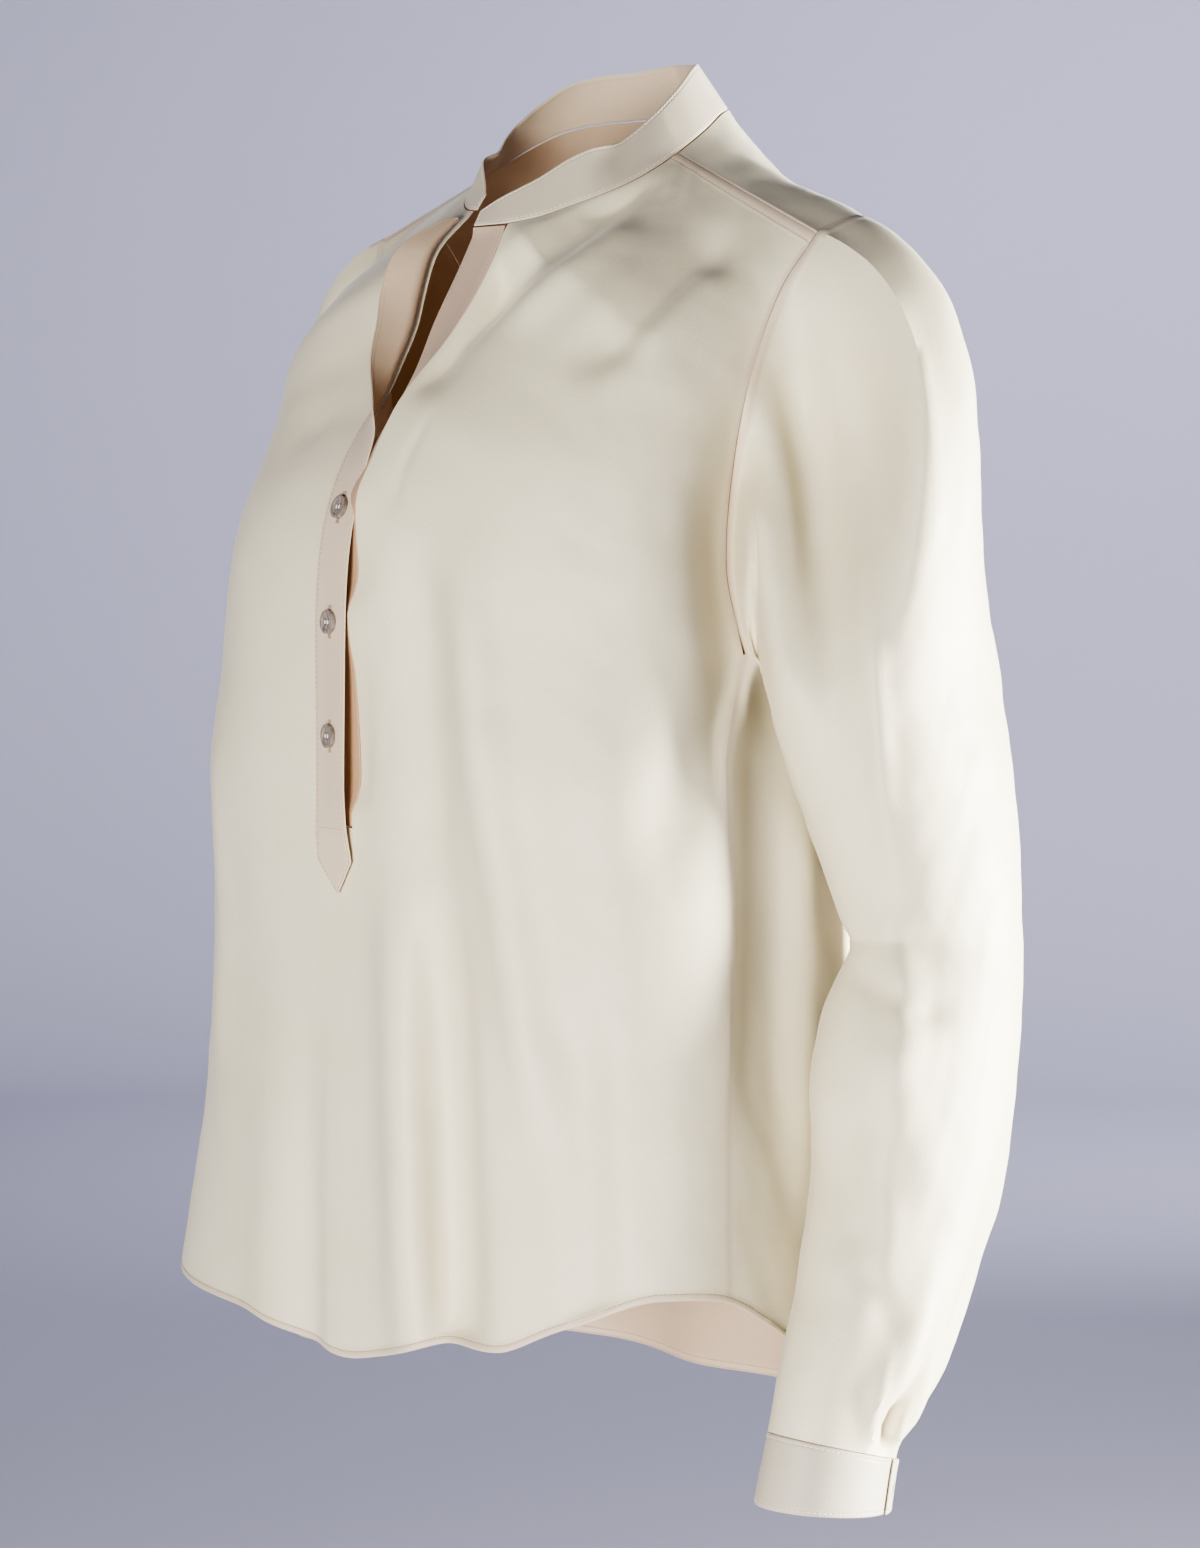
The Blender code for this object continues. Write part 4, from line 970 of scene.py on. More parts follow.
def arm_axis(side):
    """A function that gives the arm's centre beside a point."""
    def nearest(point):
        x, y = read(arm_of(side), point.z)[:2]
        return Vector((x * side, y, min(point.z, -0.12)))
    return nearest


def flat_map(grid, closed=False):
    """Distances in metres across and up a grid, measured from its middle column and lowest row."""
    ring = np.concatenate([grid, grid[:, :1]], 1) if closed else grid
    steps = np.linalg.norm(np.diff(ring, axis=1), axis=2)
    across = np.concatenate([np.zeros((len(grid), 1)), np.cumsum(steps, axis=1)], 1)
    across = across - across[:, across.shape[1] // 2, None]
    rises = np.linalg.norm(np.diff(ring, axis=0), axis=2)
    up = np.concatenate([np.zeros((1, ring.shape[1])), np.cumsum(rises, axis=0)])
    return np.stack([across, up], -1)


def edge_distances(grid, closed=False):
    """How far each point lies along the cloth from the nearest open edge."""
    across = np.linalg.norm(np.diff(grid, axis=1), axis=2)
    up = np.linalg.norm(np.diff(grid, axis=0), axis=2)
    low = np.concatenate([np.zeros((1, grid.shape[1])), np.cumsum(up, axis=0)])
    far = [low, low[-1] - low]
    if not closed:
        side = np.concatenate([np.zeros((len(grid), 1)), np.cumsum(across, axis=1)], 1)
        far += [side, side[:, -1:] - side]
    return far


RIM_ANGLE = math.radians(50)
WELD = 0.00005


def sheet(name, grids, thickness, materials, centre, closed=False, layers_and_shade=()):
    """A piece of cloth from grids of outer points, facing away from a centre, with its thickness inside."""
    points, faces, maps = [], [], []
    for grid in grids:
        rows, columns = grid.shape[:2]
        start = len(points)
        points += [tuple(point) for row in grid for point in row]
        flat = flat_map(grid, closed)
        for r in range(rows - 1):
            for c in range(columns if closed else columns - 1):
                after = (c + 1) % columns
                corners = [(r, c, c), (r, after, c + 1), (r + 1, after, c + 1), (r + 1, c, c)]
                faces.append([start + row * columns + column for row, column, _ in corners])
                maps.append([flat[row, wide] for row, _, wide in corners])
    mesh = bpy.data.meshes.new(name)
    mesh.from_pydata(points, [], faces)
    layer = mesh.uv_layers.new(name="cloth_metres")
    layer.data.foreach_set("uv", np.array(maps).ravel())
    for material in materials:
        mesh.materials.append(material)
    if layers_and_shade:
        attribute = mesh.attributes.new("layers_and_shade", "FLOAT", "POINT")
        attribute.data.foreach_set("value", np.concatenate([share.ravel() for share in layers_and_shade]))
    piece = bpy.data.objects.new(name, mesh)
    bpy.context.scene.collection.objects.link(piece)
    work = bmesh.new()
    work.from_mesh(mesh)
    bmesh.ops.remove_doubles(work, verts=work.verts, dist=WELD)
    bmesh.ops.recalc_face_normals(work, faces=work.faces)
    outward = sum(face.normal.dot(face.calc_center_median() - centre(face.calc_center_median()))
                  for face in work.faces)
    if outward < 0:
        bmesh.ops.reverse_faces(work, faces=work.faces)
    work.to_mesh(mesh)
    work.free()
    solid = piece.modifiers.new("thickness", "SOLIDIFY")
    solid.thickness = thickness
    solid.offset = -1
    solid.use_even_offset = False
    solid.material_offset = len(materials) - 1
    apply_modifiers(piece)
    piece.select_set(True)
    bpy.ops.object.shade_smooth_by_angle(angle=RIM_ANGLE)
    piece.select_set(False)
    return piece


def apply_modifiers(piece):
    """Turns a piece's modifiers into plain mesh."""
    bpy.ops.object.select_all(action="DESELECT")
    piece.select_set(True)
    bpy.context.view_layer.objects.active = piece
    for modifier in list(piece.modifiers):
        bpy.ops.object.modifier_apply(modifier=modifier.name)
    piece.select_set(False)


print("thickness of silk, strips and bands:", SILK_THICKNESS, STRIP_THICKNESS, BAND_THICKNESS, "m")

# %% [markdown]
# ## Hems, seams and topstitching
# A hem is folded twice and stitched, so along the edge the cloth is thicker, and the thread pulls a fine
# groove into it. The sheets get extra rows of points at exact distances from an edge, which are lifted or sunk
# a little. Thread is laid into the grooves later, along the same distances.


# %% Rows at exact distances from an edge
EDGE_CLEAR = 1.3  # the other rows start at this share of the last added row's distance
SETTLED_ROW = 4   # a row in from the edge, where the normals are steady


def turned(grid, edge):
    """A view of a grid whose first row is the named edge."""
    return {"bottom": grid, "top": grid[::-1], "left": grid.swapaxes(0, 1),
            "right": grid[:, ::-1].swapaxes(0, 1)}[edge]


def turned_back(grid, edge):
    """The view of turned, undone."""
    return {"bottom": grid, "top": grid[::-1], "left": grid.swapaxes(0, 1),
            "right": grid.swapaxes(0, 1)[:, ::-1]}[edge]


def rows_at(grid, edge, distances):
    """Rows of points at some distances along the cloth from an edge."""
    view = turned(grid, edge)
    steps = np.linalg.norm(np.diff(view, axis=0), axis=2)
    along = np.concatenate([np.zeros((1, view.shape[1])), np.cumsum(steps, axis=0)])
    rows = np.empty((len(distances), *view.shape[1:]))
    for column in range(view.shape[1]):
        for axis in range(3):
            rows[:, column, axis] = np.interp(distances, along[:, column], view[:, column, axis])
    return rows


def edged(grid, edge, profile, way, closed=False):
    """A grid with rows added along an edge, each at a distance from it and lifted outward by a rise."""
    distances, rises = np.array(profile).T
    lifts = turned(normals_of(grid, closed) * way, edge)[:1]
    near = rows_at(grid, edge, distances) + lifts * rises[:, None, None]
    view = turned(grid, edge)
    along = np.concatenate([np.zeros((1, view.shape[1])),
                            np.cumsum(np.linalg.norm(np.diff(view, axis=0), axis=2), axis=0)])
    start = distances[-1] * EDGE_CLEAR
    first = int(np.argmax(along.mean(axis=1) > start))
    spread = start + (along[first:] - along[first]) * (along[-1] - start) / (along[-1] - along[first])
    rest = np.stack([np.stack([np.interp(spread[:, column], along[:, column], view[:, column, axis])
                               for axis in range(3)], -1) for column in range(view.shape[1])], 1)
    return turned_back(np.concatenate([near, rest]), edge)


def line_at(grid, edge, distance, way, ends=0.0, closed=False):
    """A line on a grid at a distance from an edge, and its outward normals, with both ends cut back."""
    line = rows_at(grid, edge, [distance])[0]
    outward = turned(normals_of(grid, closed) * way, edge)[SETTLED_ROW]
    if closed:
        line, outward = np.vstack([line, line[:1]]), np.vstack([outward, outward[:1]])
    along = np.concatenate([[0], np.cumsum(np.linalg.norm(np.diff(line, axis=0), axis=1))])
    kept = (along >= ends) & (along <= along[-1] - ends)
    return line[kept], outward[kept]


# how far from an edge the thread is sunk
HEM_GROOVE = 0.0038
SHOULDER_GROOVES = (0.0013, 0.0070)
BAND_GROOVE = 0.0021
# the edges, each a row of (distance, rise)
HEM_EDGE = ((0, -0.0003), (0.0003, 0.0001), (0.0010, 0.0003), (0.0034, 0.0003), (HEM_GROOVE, -0.0001),
            (0.0042, 0.0002), (0.0048, 0.0), (0.0070, 0.0))
SHOULDER_BAND = ((0, 0.0), (0.0006, 0.0002), (SHOULDER_GROOVES[0], -0.0001), (0.0019, 0.0003), (0.0064, 0.0003),
                 (SHOULDER_GROOVES[1], -0.0001), (0.0076, 0.0002), (0.0082, 0.0), (0.0100, 0.0))
ARMHOLE_BAND = ((0, -0.0001), (0.0005, 0.0003), (0.0045, 0.0003), (0.0052, 0.0), (0.0080, 0.0))
BAND_EDGE = ((0, -0.0005), (0.0003, -0.00015), (0.0008, 0.0), (0.0017, 0.00005), (BAND_GROOVE, -0.00015),
             (0.0025, 0.00005), (0.0040, 0.0))
print("edges:", len(HEM_EDGE), "rows at the hem,", len(BAND_EDGE), "at a band's edge")

# %% [markdown]
# A stitch is a short run of thread that dips into the cloth at both ends. One is shaped from a ball, and its
# form is then copied along every line.

# %% One stitch, and rows of stitches
THREAD_RADIUS = 0.00019
STITCH_LENGTH = 0.0021
STITCH_SPACING = 0.0027
THREAD_LIFT = 0.2  # how far a stitch's middle lies above the cloth, in radii
bpy.ops.mesh.primitive_uv_sphere_add(segments=6, ring_count=4, radius=1, rotation=(0, math.pi / 2, 0))
bpy.ops.object.transform_apply(rotation=True)
ball = bpy.context.object
STITCH_POINTS = np.array([vertex.co for vertex in ball.data.vertices])
STITCH_FACES = [tuple(face.vertices) for face in ball.data.polygons]
bpy.data.objects.remove(ball, do_unlink=True)


def stitches(name, rows, material, spacing=STITCH_SPACING, length=STITCH_LENGTH, radius=THREAD_RADIUS):
    """All the stitches along some lines, as one piece."""
    points, faces, count = [], [], 0
    for line, outward in rows:
        lengths = np.concatenate([[0], np.cumsum(np.linalg.norm(np.diff(line, axis=0), axis=1))])
        number = max(int(lengths[-1] / spacing), 1)
        middles = (np.arange(number) + 0.5) * lengths[-1] / number
        before, after, up = (np.column_stack([np.interp(where, lengths, values[:, axis]) for axis in range(3)])
                             for values, where in ((line, middles - length / 2), (line, middles + length / 2),
                                                   (outward, middles)))
        ahead, up = unit(after - before), unit(up)
        side = np.cross(up, ahead)
        form = (ahead[:, None] * STITCH_POINTS[:, 0, None] * length / 2
                + side[:, None] * STITCH_POINTS[:, 1, None] * radius
                + up[:, None] * (STITCH_POINTS[:, 2, None] + THREAD_LIFT) * radius)
        points.append(((before + after) / 2)[:, None] + form)
        faces += [tuple(corner + (count + k) * len(STITCH_POINTS) for corner in face)
                  for k in range(number) for face in STITCH_FACES]
        count += number
    mesh = bpy.data.meshes.new(name)
    mesh.from_pydata(np.concatenate(points).reshape(-1, 3).tolist(), [], faces)
    mesh.shade_smooth()
    mesh.materials.append(material)
    piece = bpy.data.objects.new(name, mesh)
    bpy.context.scene.collection.objects.link(piece)
    print(name, count, "stitches")
    return piece

# %% [markdown]
# ## Silk crepe
# Crepe is woven from hard-twisted threads, so its face is finely pebbled and only half glossy. The finish is
# built once as a group: a fine pebble, the thread's own lines and slow changes of tone. Every silk material
# uses the group with its own colour, and the constants of the shader are set on the shader itself. Where a
# sheet lies double, at a hem or a seam, its points carry a share called layers_and_shade, which leads to a
# warmer tone; on the under strip the same share marks a deeper painted shade. The inside is painted darker, as
# painted shade, and glows very weakly, like thin silk with daylight behind it.


# %% A group for the crepe's face
def add_node(tree, kind, place, values=None, **settings):
    """A node at a place, with its settings and the values of its inputs."""
    node = tree.nodes.new(kind)
    node.location = place
    for name, value in settings.items():
        setattr(node, name, value)
    for name, value in (values or {}).items():
        node.inputs[name].default_value = value
    return node


def add_range(tree, place, before, after):
    """A node that brings values from one range to another."""
    return add_node(tree, "ShaderNodeMapRange", place, {"From Min": before[0], "From Max": before[1],
                                                        "To Min": after[0], "To Max": after[1]})


def crepe_group():
    """Crepe's tone and its relief, from the object's own space."""
    group = bpy.data.node_groups.new("silk crepe face", "ShaderNodeTree")
    for name, way, kind in (("Light", "INPUT", "Color"), ("Deep", "INPUT", "Color"), ("Layered_and_shade", "INPUT", "Color"),
                            ("Color", "OUTPUT", "Color"), ("Roughness", "OUTPUT", "Float"),
                            ("Normal", "OUTPUT", "Vector")):
        group.interface.new_socket(name, in_out=way, socket_type="NodeSocket" + kind)
    start = add_node(group, "NodeGroupInput", (-1000, 0))
    end = add_node(group, "NodeGroupOutput", (600, 0))
    where = add_node(group, "ShaderNodeTexCoord", (-1000, -300))
    slow = add_node(group, "ShaderNodeTexNoise", (-760, 200), {"Scale": 14, "Detail": 3})
    pebble = add_node(group, "ShaderNodeTexNoise", (-760, -100), {"Scale": 1500, "Detail": 2})
    fine = add_node(group, "ShaderNodeTexNoise", (-760, -400), {"Scale": 420, "Detail": 3})
    for noise in (slow, pebble, fine):
        group.links.new(where.outputs["Object"], noise.inputs["Vector"])
    both = add_node(group, "ShaderNodeMath", (-520, -250), {1: 0.7}, operation="MULTIPLY_ADD")
    group.links.new(fine.outputs["Fac"], both.inputs[0])
    group.links.new(pebble.outputs["Fac"], both.inputs[2])
    relief = add_node(group, "ShaderNodeBump", (200, -300), {"Strength": 0.25, "Distance": 0.00035})
    group.links.new(both.outputs[0], relief.inputs["Height"])
    group.links.new(relief.outputs["Normal"], end.inputs["Normal"])
    share = add_range(group, (-520, 200), (0.35, 0.65), (0.25, 0.60))
    group.links.new(slow.outputs["Fac"], share.inputs["Value"])
    tone = add_node(group, "ShaderNodeMix", (-200, 200), data_type="RGBA")
    group.links.new(share.outputs[0], tone.inputs["Factor"])
    group.links.new(start.outputs["Light"], tone.inputs["A"])
    group.links.new(start.outputs["Deep"], tone.inputs["B"])
    grain = add_range(group, (-520, 0), (0.3, 0.8), (0.94, 1.03))
    group.links.new(pebble.outputs["Fac"], grain.inputs["Value"])
    # the share mixes in the second tone: warmer where cloth lies double, and a painted shade on the under strip
    layers_and_shade = add_node(group, "ShaderNodeAttribute", (-420, 420), attribute_name="layers_and_shade")
    seams = add_node(group, "ShaderNodeMix", (-40, 300), data_type="RGBA")
    group.links.new(layers_and_shade.outputs["Fac"], seams.inputs["Factor"])
    group.links.new(tone.outputs["Result"], seams.inputs["A"])
    group.links.new(start.outputs["Layered_and_shade"], seams.inputs["B"])
    shaded = add_node(group, "ShaderNodeVectorMath", (160, 200), operation="SCALE")
    group.links.new(seams.outputs["Result"], shaded.inputs[0])
    group.links.new(grain.outputs[0], shaded.inputs["Scale"])
    group.links.new(shaded.outputs[0], end.inputs["Color"])
    rough = add_range(group, (100, 0), (0.0, 1.0), (0.46, 0.60))
    group.links.new(fine.outputs["Fac"], rough.inputs["Value"])
    group.links.new(rough.outputs[0], end.inputs["Roughness"])
    return group


CREPE = crepe_group()
print("crepe group:", len(CREPE.nodes), "nodes")

# %% The silks and the threads
LAYERED = (0.63, 0.51, 0.39)
GLOW_TINT = (1.0, 0.52, 0.24)
SHEEN_TINT = (1.0, 0.96, 0.90)


def silk(name, light, deep, sheen=0.25, layered_and_shade=LAYERED, glow=0.0):
    """A silk material with its own light and deep tones. Glow stands for daylight that comes through the cloth."""
    material = bpy.data.materials.new(name)
    material.use_nodes = True
    tree = material.node_tree
    shader = tree.nodes["Principled BSDF"]
    face = add_node(tree, "ShaderNodeGroup", (-300, 200), node_tree=CREPE)
    for name, color in (("Light", light), ("Deep", deep), ("Layered_and_shade", layered_and_shade)):
        face.inputs[name].default_value = (*color, 1)
    for output, target in (("Color", "Base Color"), ("Roughness", "Roughness"), ("Normal", "Normal")):
        tree.links.new(face.outputs[output], shader.inputs[target])
    for name, value in {"Sheen Weight": sheen, "Sheen Roughness": 0.4, "Sheen Tint": (*SHEEN_TINT, 1),
                        "Specular IOR Level": 0.45, "Emission Color": (*GLOW_TINT, 1),
                        "Emission Strength": glow}.items():
        shader.inputs[name].default_value = value
    return material


SILK = silk("ivory_silk_crepe", (0.77, 0.713, 0.54), (0.71, 0.643, 0.46))
BAND_SILK = silk("layered_silk_bands", (0.68, 0.57, 0.43), (0.61, 0.50, 0.36))
# painted shade: the inside of every sheet is a darker, warmer copy of the silk; its weak glow stands for light through
# the cloth
INNER_SILK_PAINTED_SHADE = silk("silk_inside_painted_shade", (0.62, 0.50, 0.37), (0.54, 0.42, 0.29), sheen=0.1, glow=0.03)
# the collar's and cuffs' tones: partly the warmer tone of doubled cloth, partly painted shade, the cuffs darkest
COLLAR_SILK_PAINTED_SHADE = silk("collar_silk_painted_shade", (0.67, 0.60, 0.47), (0.61, 0.54, 0.41))
CUFF_SILK_PAINTED_SHADE = silk("cuff_silk_painted_shade", (0.58, 0.53, 0.42), (0.53, 0.475, 0.365))
# painted shade: the under strip is a darker copy of the band silk, and its second tone is a deeper, orange-brown
# painted shade where the top strip covers it
UNDER_SILK_PAINTED_SHADE = silk("under_strip_silk_painted_shade", (0.56, 0.44, 0.34), (0.49, 0.38, 0.28), layered_and_shade=(0.50, 0.33, 0.20),
                  glow=0.015)
THREAD = silk("silk_thread", (0.86, 0.80, 0.70), (0.80, 0.72, 0.60), sheen=0.3)
# the seam thread is painted dark as the shadow of the groove it lies in; the hem, shoulders, strips and buttonholes use
# it
SEAM_THREAD_PAINTED_SHADOW = silk("beige_thread_painted_shadow", (0.46, 0.34, 0.25), (0.38, 0.27, 0.20), sheen=0.1)
print("silk materials:", *(material.name for material in bpy.data.materials))

# %% [markdown]
# ## The panels
# The front is one panel with a slit for the placket, and the back is one panel with a longer tail. The broad
# folds are in the rounds already. The drawn creases and a slight unevenness are added along the normals, and
# the hem and the seams get their turned edges.


# %% A slight unevenness for all the cloth
def unevenness(points, seed, size=0.05):
    """Slow waves from -1 to 1 that never repeat on the blouse, the same on every run."""
    chance = np.random.default_rng(seed)
    total = np.zeros(points.shape[:-1])
    for octave, share in ((1.0, 0.6), (2.1, 0.3), (4.3, 0.15)):
        for _ in range(3):
            heading = unit(chance.normal(size=3))
            phase = chance.uniform(0, 2 * math.pi)
            total += share * np.sin(points @ heading * (2 * math.pi * octave / size) + phase
                                    + 1.7 * np.sin(points @ heading[::-1] * (3.1 / size) + phase * 2))
    return total / 3


SEAM_HOLD = 0.009  # how far in from an edge a sheet moves freely
BELOW_SLIT = (0.004, 0.040)  # how far below the slit its line starts to move, and where it moves freely
CENTRE_FREE = 0.05
# the hollow in front of an arm
HOLLOW_TOP = -0.125
HOLLOW_FOOT = -0.40
HOLLOW_ANGLES = (88, 74)
HOLLOW_STEPS = 8
HOLLOW_DEPTH = {1: 0.026, -1: 0.012}
HOLLOW_WIDTH = 0.017
HOLLOW_WAY = (-0.70, 0.71, 0.0)
HOLLOW_ENDS = (0.22, 0.45)
# the hollow down the side of the body
SIDE_HOLLOW_ANGLE = 101
SIDE_HOLLOW_SPAN = (-0.22, -0.60)
SIDE_HOLLOW_STEPS = 12
SIDE_HOLLOW_DEPTH = {1: 0.016, -1: 0.008}
SIDE_HOLLOW_WIDTH = 0.026
SIDE_HOLLOW_ENDS = (0.2, 0.5)
SIDE_HOLLOW_START = (-0.245, -0.285)
LAYER_EDGE = (0.0005, 0.0002)  # how far past a band's width its tone fades out, and before it starts to


def centre_free(grid):
    """An extra distance that lets the line below the slit move with the cloth."""
    return CENTRE_FREE * ease(SLIT_BOTTOM - BELOW_SLIT[0], SLIT_BOTTOM - BELOW_SLIT[1], grid[..., 2])


def dress(grid, way, creases, amount, seed, closed=False):
    """A grid with its creases and unevenness, held still along its seams and edges."""
    outward = normals_of(grid, closed) * way
    far = edge_distances(grid, closed)
    if not closed:
        far[2] = far[2] + centre_free(grid)
    hold = ease(0, SEAM_HOLD, np.minimum.reduce(far))
    stand = creased(grid, outward, creases) + unevenness(grid, seed) * amount
    return grid + outward * (stand * hold)[..., None]


def hollow_line(side):
    """The line of the hollow in front of an arm: the lower armhole seam, then down the body's side."""
    seam = FRONTS[side][SKIRT_ROWS + CHEST_ROWS:, -1]
    seam = seam[seam[:, 2] < HOLLOW_TOP][::-1]
    heights = np.linspace(UNDERARM_Z, HOLLOW_FOOT, HOLLOW_STEPS + 1)[1:]
    down = body_points(np.linspace(*HOLLOW_ANGLES, HOLLOW_STEPS) * side, heights)
    return np.vstack([seam[::4], down])


def hollowed(grid, side, body=True):
    """A grid pressed in along the hollows. Sheets that meet there move together, so their seams stay closed."""
    away, place, _ = along_line(grid, hollow_line(side))
    start, end = HOLLOW_ENDS
    depth = HOLLOW_DEPTH[side] * bump(away, HOLLOW_WIDTH) * ease(0, start, place) * ease(1, end, place)
    beside = body_points(np.full(SIDE_HOLLOW_STEPS, SIDE_HOLLOW_ANGLE * side),
                         np.linspace(*SIDE_HOLLOW_SPAN, SIDE_HOLLOW_STEPS))
    away, place, _ = along_line(grid, beside)
    start, end = SIDE_HOLLOW_ENDS
    inward = SIDE_HOLLOW_DEPTH[side] * bump(away, SIDE_HOLLOW_WIDTH) * ease(0, start, place) * ease(1, end, place)
    inward = inward * ease(*SIDE_HOLLOW_START, grid[..., 2]) * body
    return grid + np.array(HOLLOW_WAY) * (side, 1, 1) * depth[..., None] - np.array([side, 0, 0]) * inward[..., None]


def layers_near(grid, bands, closed=False):
    """How much cloth lies double near some edges: each band is an edge, a width and an amount."""
    total = np.zeros(grid.shape[:2])
    low, high, *sides = edge_distances(grid, closed)
    named = {"bottom": low, "top": high}
    if sides:
        named["left"], named["right"] = sides
    for edge, width, amount in bands:
        total = np.maximum(total, amount * ease(width + LAYER_EDGE[0], width - LAYER_EDGE[1], named[edge]))
    return total


print("hollows:", hollow_line(1).shape[0], "and", SIDE_HOLLOW_STEPS, "points each side")


# %% Front and back
# each band that lies double: an edge, a width and an amount
LOW_BANDS = (("bottom", 0.0040, 0.7), ("left", 0.0022, 0.7), ("right", 0.0022, 0.7))
FRONT_BANDS = (("top", 0.0078, 0.8), ("right", 0.0022, 0.7))
BACK_BANDS = (("top", 0.0010, 0.5), ("right", 0.0022, 0.7))
FRONT_WAVES, FRONT_SEED = 0.0007, 3
BACK_WAVES, BACK_SEED = 0.0009, 5
SPINE_COLUMNS = (30, 12)  # columns from the back's middle, from where it is smoothed to where it is smoothed fully
NAPE_ROWS = 16  # rows below the nape over which the smoothing ends
SPINE_ROUNDS = 60


def front_grids():
    """The low front as one full width, and the two upper halves beside the slit."""
    halves = {side: hollowed(dress(FRONTS[side], side, FRONT_CREASES, FRONT_WAVES, FRONT_SEED), side)
              for side in (1, -1)}
    middle = skirt(np.linspace(-slit_angle(), slit_angle(), SLIT_COLUMNS + 1))[:SKIRT_ROWS + 1]
    held = ease(0, SEAM_HOLD, np.minimum(edge_distances(middle)[0], centre_free(middle)))
    middle = middle + normals_of(middle) * (unevenness(middle, FRONT_SEED) * FRONT_WAVES * held)[..., None]
    low = np.concatenate([halves[-1][:SKIRT_ROWS + 1, ::-1], middle[:, 1:-1], halves[1][:SKIRT_ROWS + 1]], 1)
    high = {side: edged(halves[side][SKIRT_ROWS:], "top", SHOULDER_BAND, side) for side in (1, -1)}
    return edged(low, "bottom", HEM_EDGE, 1), high


def back_grids():
    """The back up to the nape as one full width, and the two shoulders above it."""
    halves = {side: hollowed(dress(eased(BACKS[side]), -side, BACK_CREASES, BACK_WAVES, BACK_SEED), side)
              for side in (1, -1)}
    low = np.concatenate([halves[1][:NECK_CORNER_ROW + 1, ::-1], halves[-1][:NECK_CORNER_ROW + 1, 1:]], 1)
    middle = low.shape[1] // 2
    held = 0.5 * ease(*SPINE_COLUMNS, abs(np.arange(low.shape[1]) - middle))[None, 1:-1, None]
    held = held * ease(len(low) - 1, len(low) - NAPE_ROWS, np.arange(len(low)))[:, None, None]
    for _ in range(SPINE_ROUNDS):
        low[:, 1:-1] += held * ((low[:, 2:] + low[:, :-2]) / 2 - low[:, 1:-1])
    return edged(low, "bottom", HEM_EDGE, 1), {side: halves[side][NECK_CORNER_ROW:] for side in (1, -1)}


LOW_FRONT, HIGH_FRONTS = front_grids()
LOW_BACK, HIGH_BACKS = back_grids()
FRONT = sheet("silk_front", [HIGH_FRONTS[1], HIGH_FRONTS[-1], LOW_FRONT], SILK_THICKNESS, [SILK, INNER_SILK_PAINTED_SHADE],
              trunk_axis, layers_and_shade=[*(layers_near(HIGH_FRONTS[side], FRONT_BANDS) for side in (1, -1)),
                                  layers_near(LOW_FRONT, LOW_BANDS)])
BACK = sheet("silk_back", [HIGH_BACKS[1], HIGH_BACKS[-1], LOW_BACK], SILK_THICKNESS, [SILK, INNER_SILK_PAINTED_SHADE],
             trunk_axis, layers_and_shade=[*(layers_near(HIGH_BACKS[side], BACK_BANDS) for side in (1, -1)),
                                 layers_near(LOW_BACK, LOW_BANDS)])
print("front and back faces:", len(FRONT.data.polygons), len(BACK.data.polygons))

# %% [markdown]
# ## Sleeves
# Each sleeve is a closed sheet. Its armhole edge carries the seam's pressed allowance, which shows through the
# silk as a warm band. At the cuff the width is taken into two pleats.


# %% Sleeves
SLEEVE_WAVES, SLEEVE_SEED = 0.0010, 7
SLEEVE_BANDS = (("bottom", 0.0045, 0.75),)


def make_sleeve(side):
    """One sleeve."""
    name = "silk_sleeve_left" if side > 0 else "silk_sleeve_right"
    grid = dress(SLEEVES[side], side, SLEEVE_CREASES[side], SLEEVE_WAVES, SLEEVE_SEED + side, closed=True)
    grid = hollowed(grid, side, False)
    grid = edged(grid, "bottom", ARMHOLE_BAND, side, closed=True)
    layers_and_shade = layers_near(grid, SLEEVE_BANDS, closed=True)
    piece = sheet(name, [grid], SILK_THICKNESS, [SILK, INNER_SILK_PAINTED_SHADE], arm_axis(side), closed=True, layers_and_shade=[layers_and_shade])
    return piece, grid


SLEEVE_PIECES, SLEEVE_GRIDS = {}, {}
for side in (1, -1):
    SLEEVE_PIECES[side], SLEEVE_GRIDS[side] = make_sleeve(side)
    print(SLEEVE_PIECES[side].name, "faces:", len(SLEEVE_PIECES[side].data.polygons))

# %% [markdown]
# ## Cuffs, collar and strips
# Every band has rolled edges with a groove for the thread. The under strip is a darker copy of the band silk as
# painted shade: lighter in the open neck, and painted a deeper shade below it, where the top strip lies over it.
# The collar and cuffs have their own darker tones, partly for their doubled cloth and partly as painted shade.

# %% Cuffs, collar and strips
ALL_EDGES = ("bottom", "top", "left", "right")
# the under strip's deeper painted shade fades in between these heights and is full below them
UNDER_PAINTED_SHADE_HEIGHTS = (-0.110, -0.128)  # the under strip's tone changes between these heights


def banded(grid, way, edges=ALL_EDGES):
    """A band with rolled and stitched edges."""
    for edge in edges:
        grid = edged(grid, edge, BAND_EDGE, way)
    return grid


CUFF_GRIDS = {side: banded(GRIDS["cuff_left" if side > 0 else "cuff_right"], -side) for side in (1, -1)}
CUFF_PIECES = {side: sheet("silk_cuff_left" if side > 0 else "silk_cuff_right", [CUFF_GRIDS[side]], BAND_THICKNESS,
                           [CUFF_SILK_PAINTED_SHADE, INNER_SILK_PAINTED_SHADE], arm_axis(side)) for side in (1, -1)}
COLLAR_GRID = banded(GRIDS["collar"], 1)
COLLAR = sheet("silk_collar", [COLLAR_GRID], BAND_THICKNESS, [COLLAR_SILK_PAINTED_SHADE, BAND_SILK], neck_axis)
TOP_STRIP_GRID = banded(GRIDS["placket_top"], 1, ("left", "right"))
TOP_STRIP = sheet("silk_placket_top", [TOP_STRIP_GRID], STRIP_THICKNESS, [BAND_SILK, INNER_SILK_PAINTED_SHADE], neck_axis)
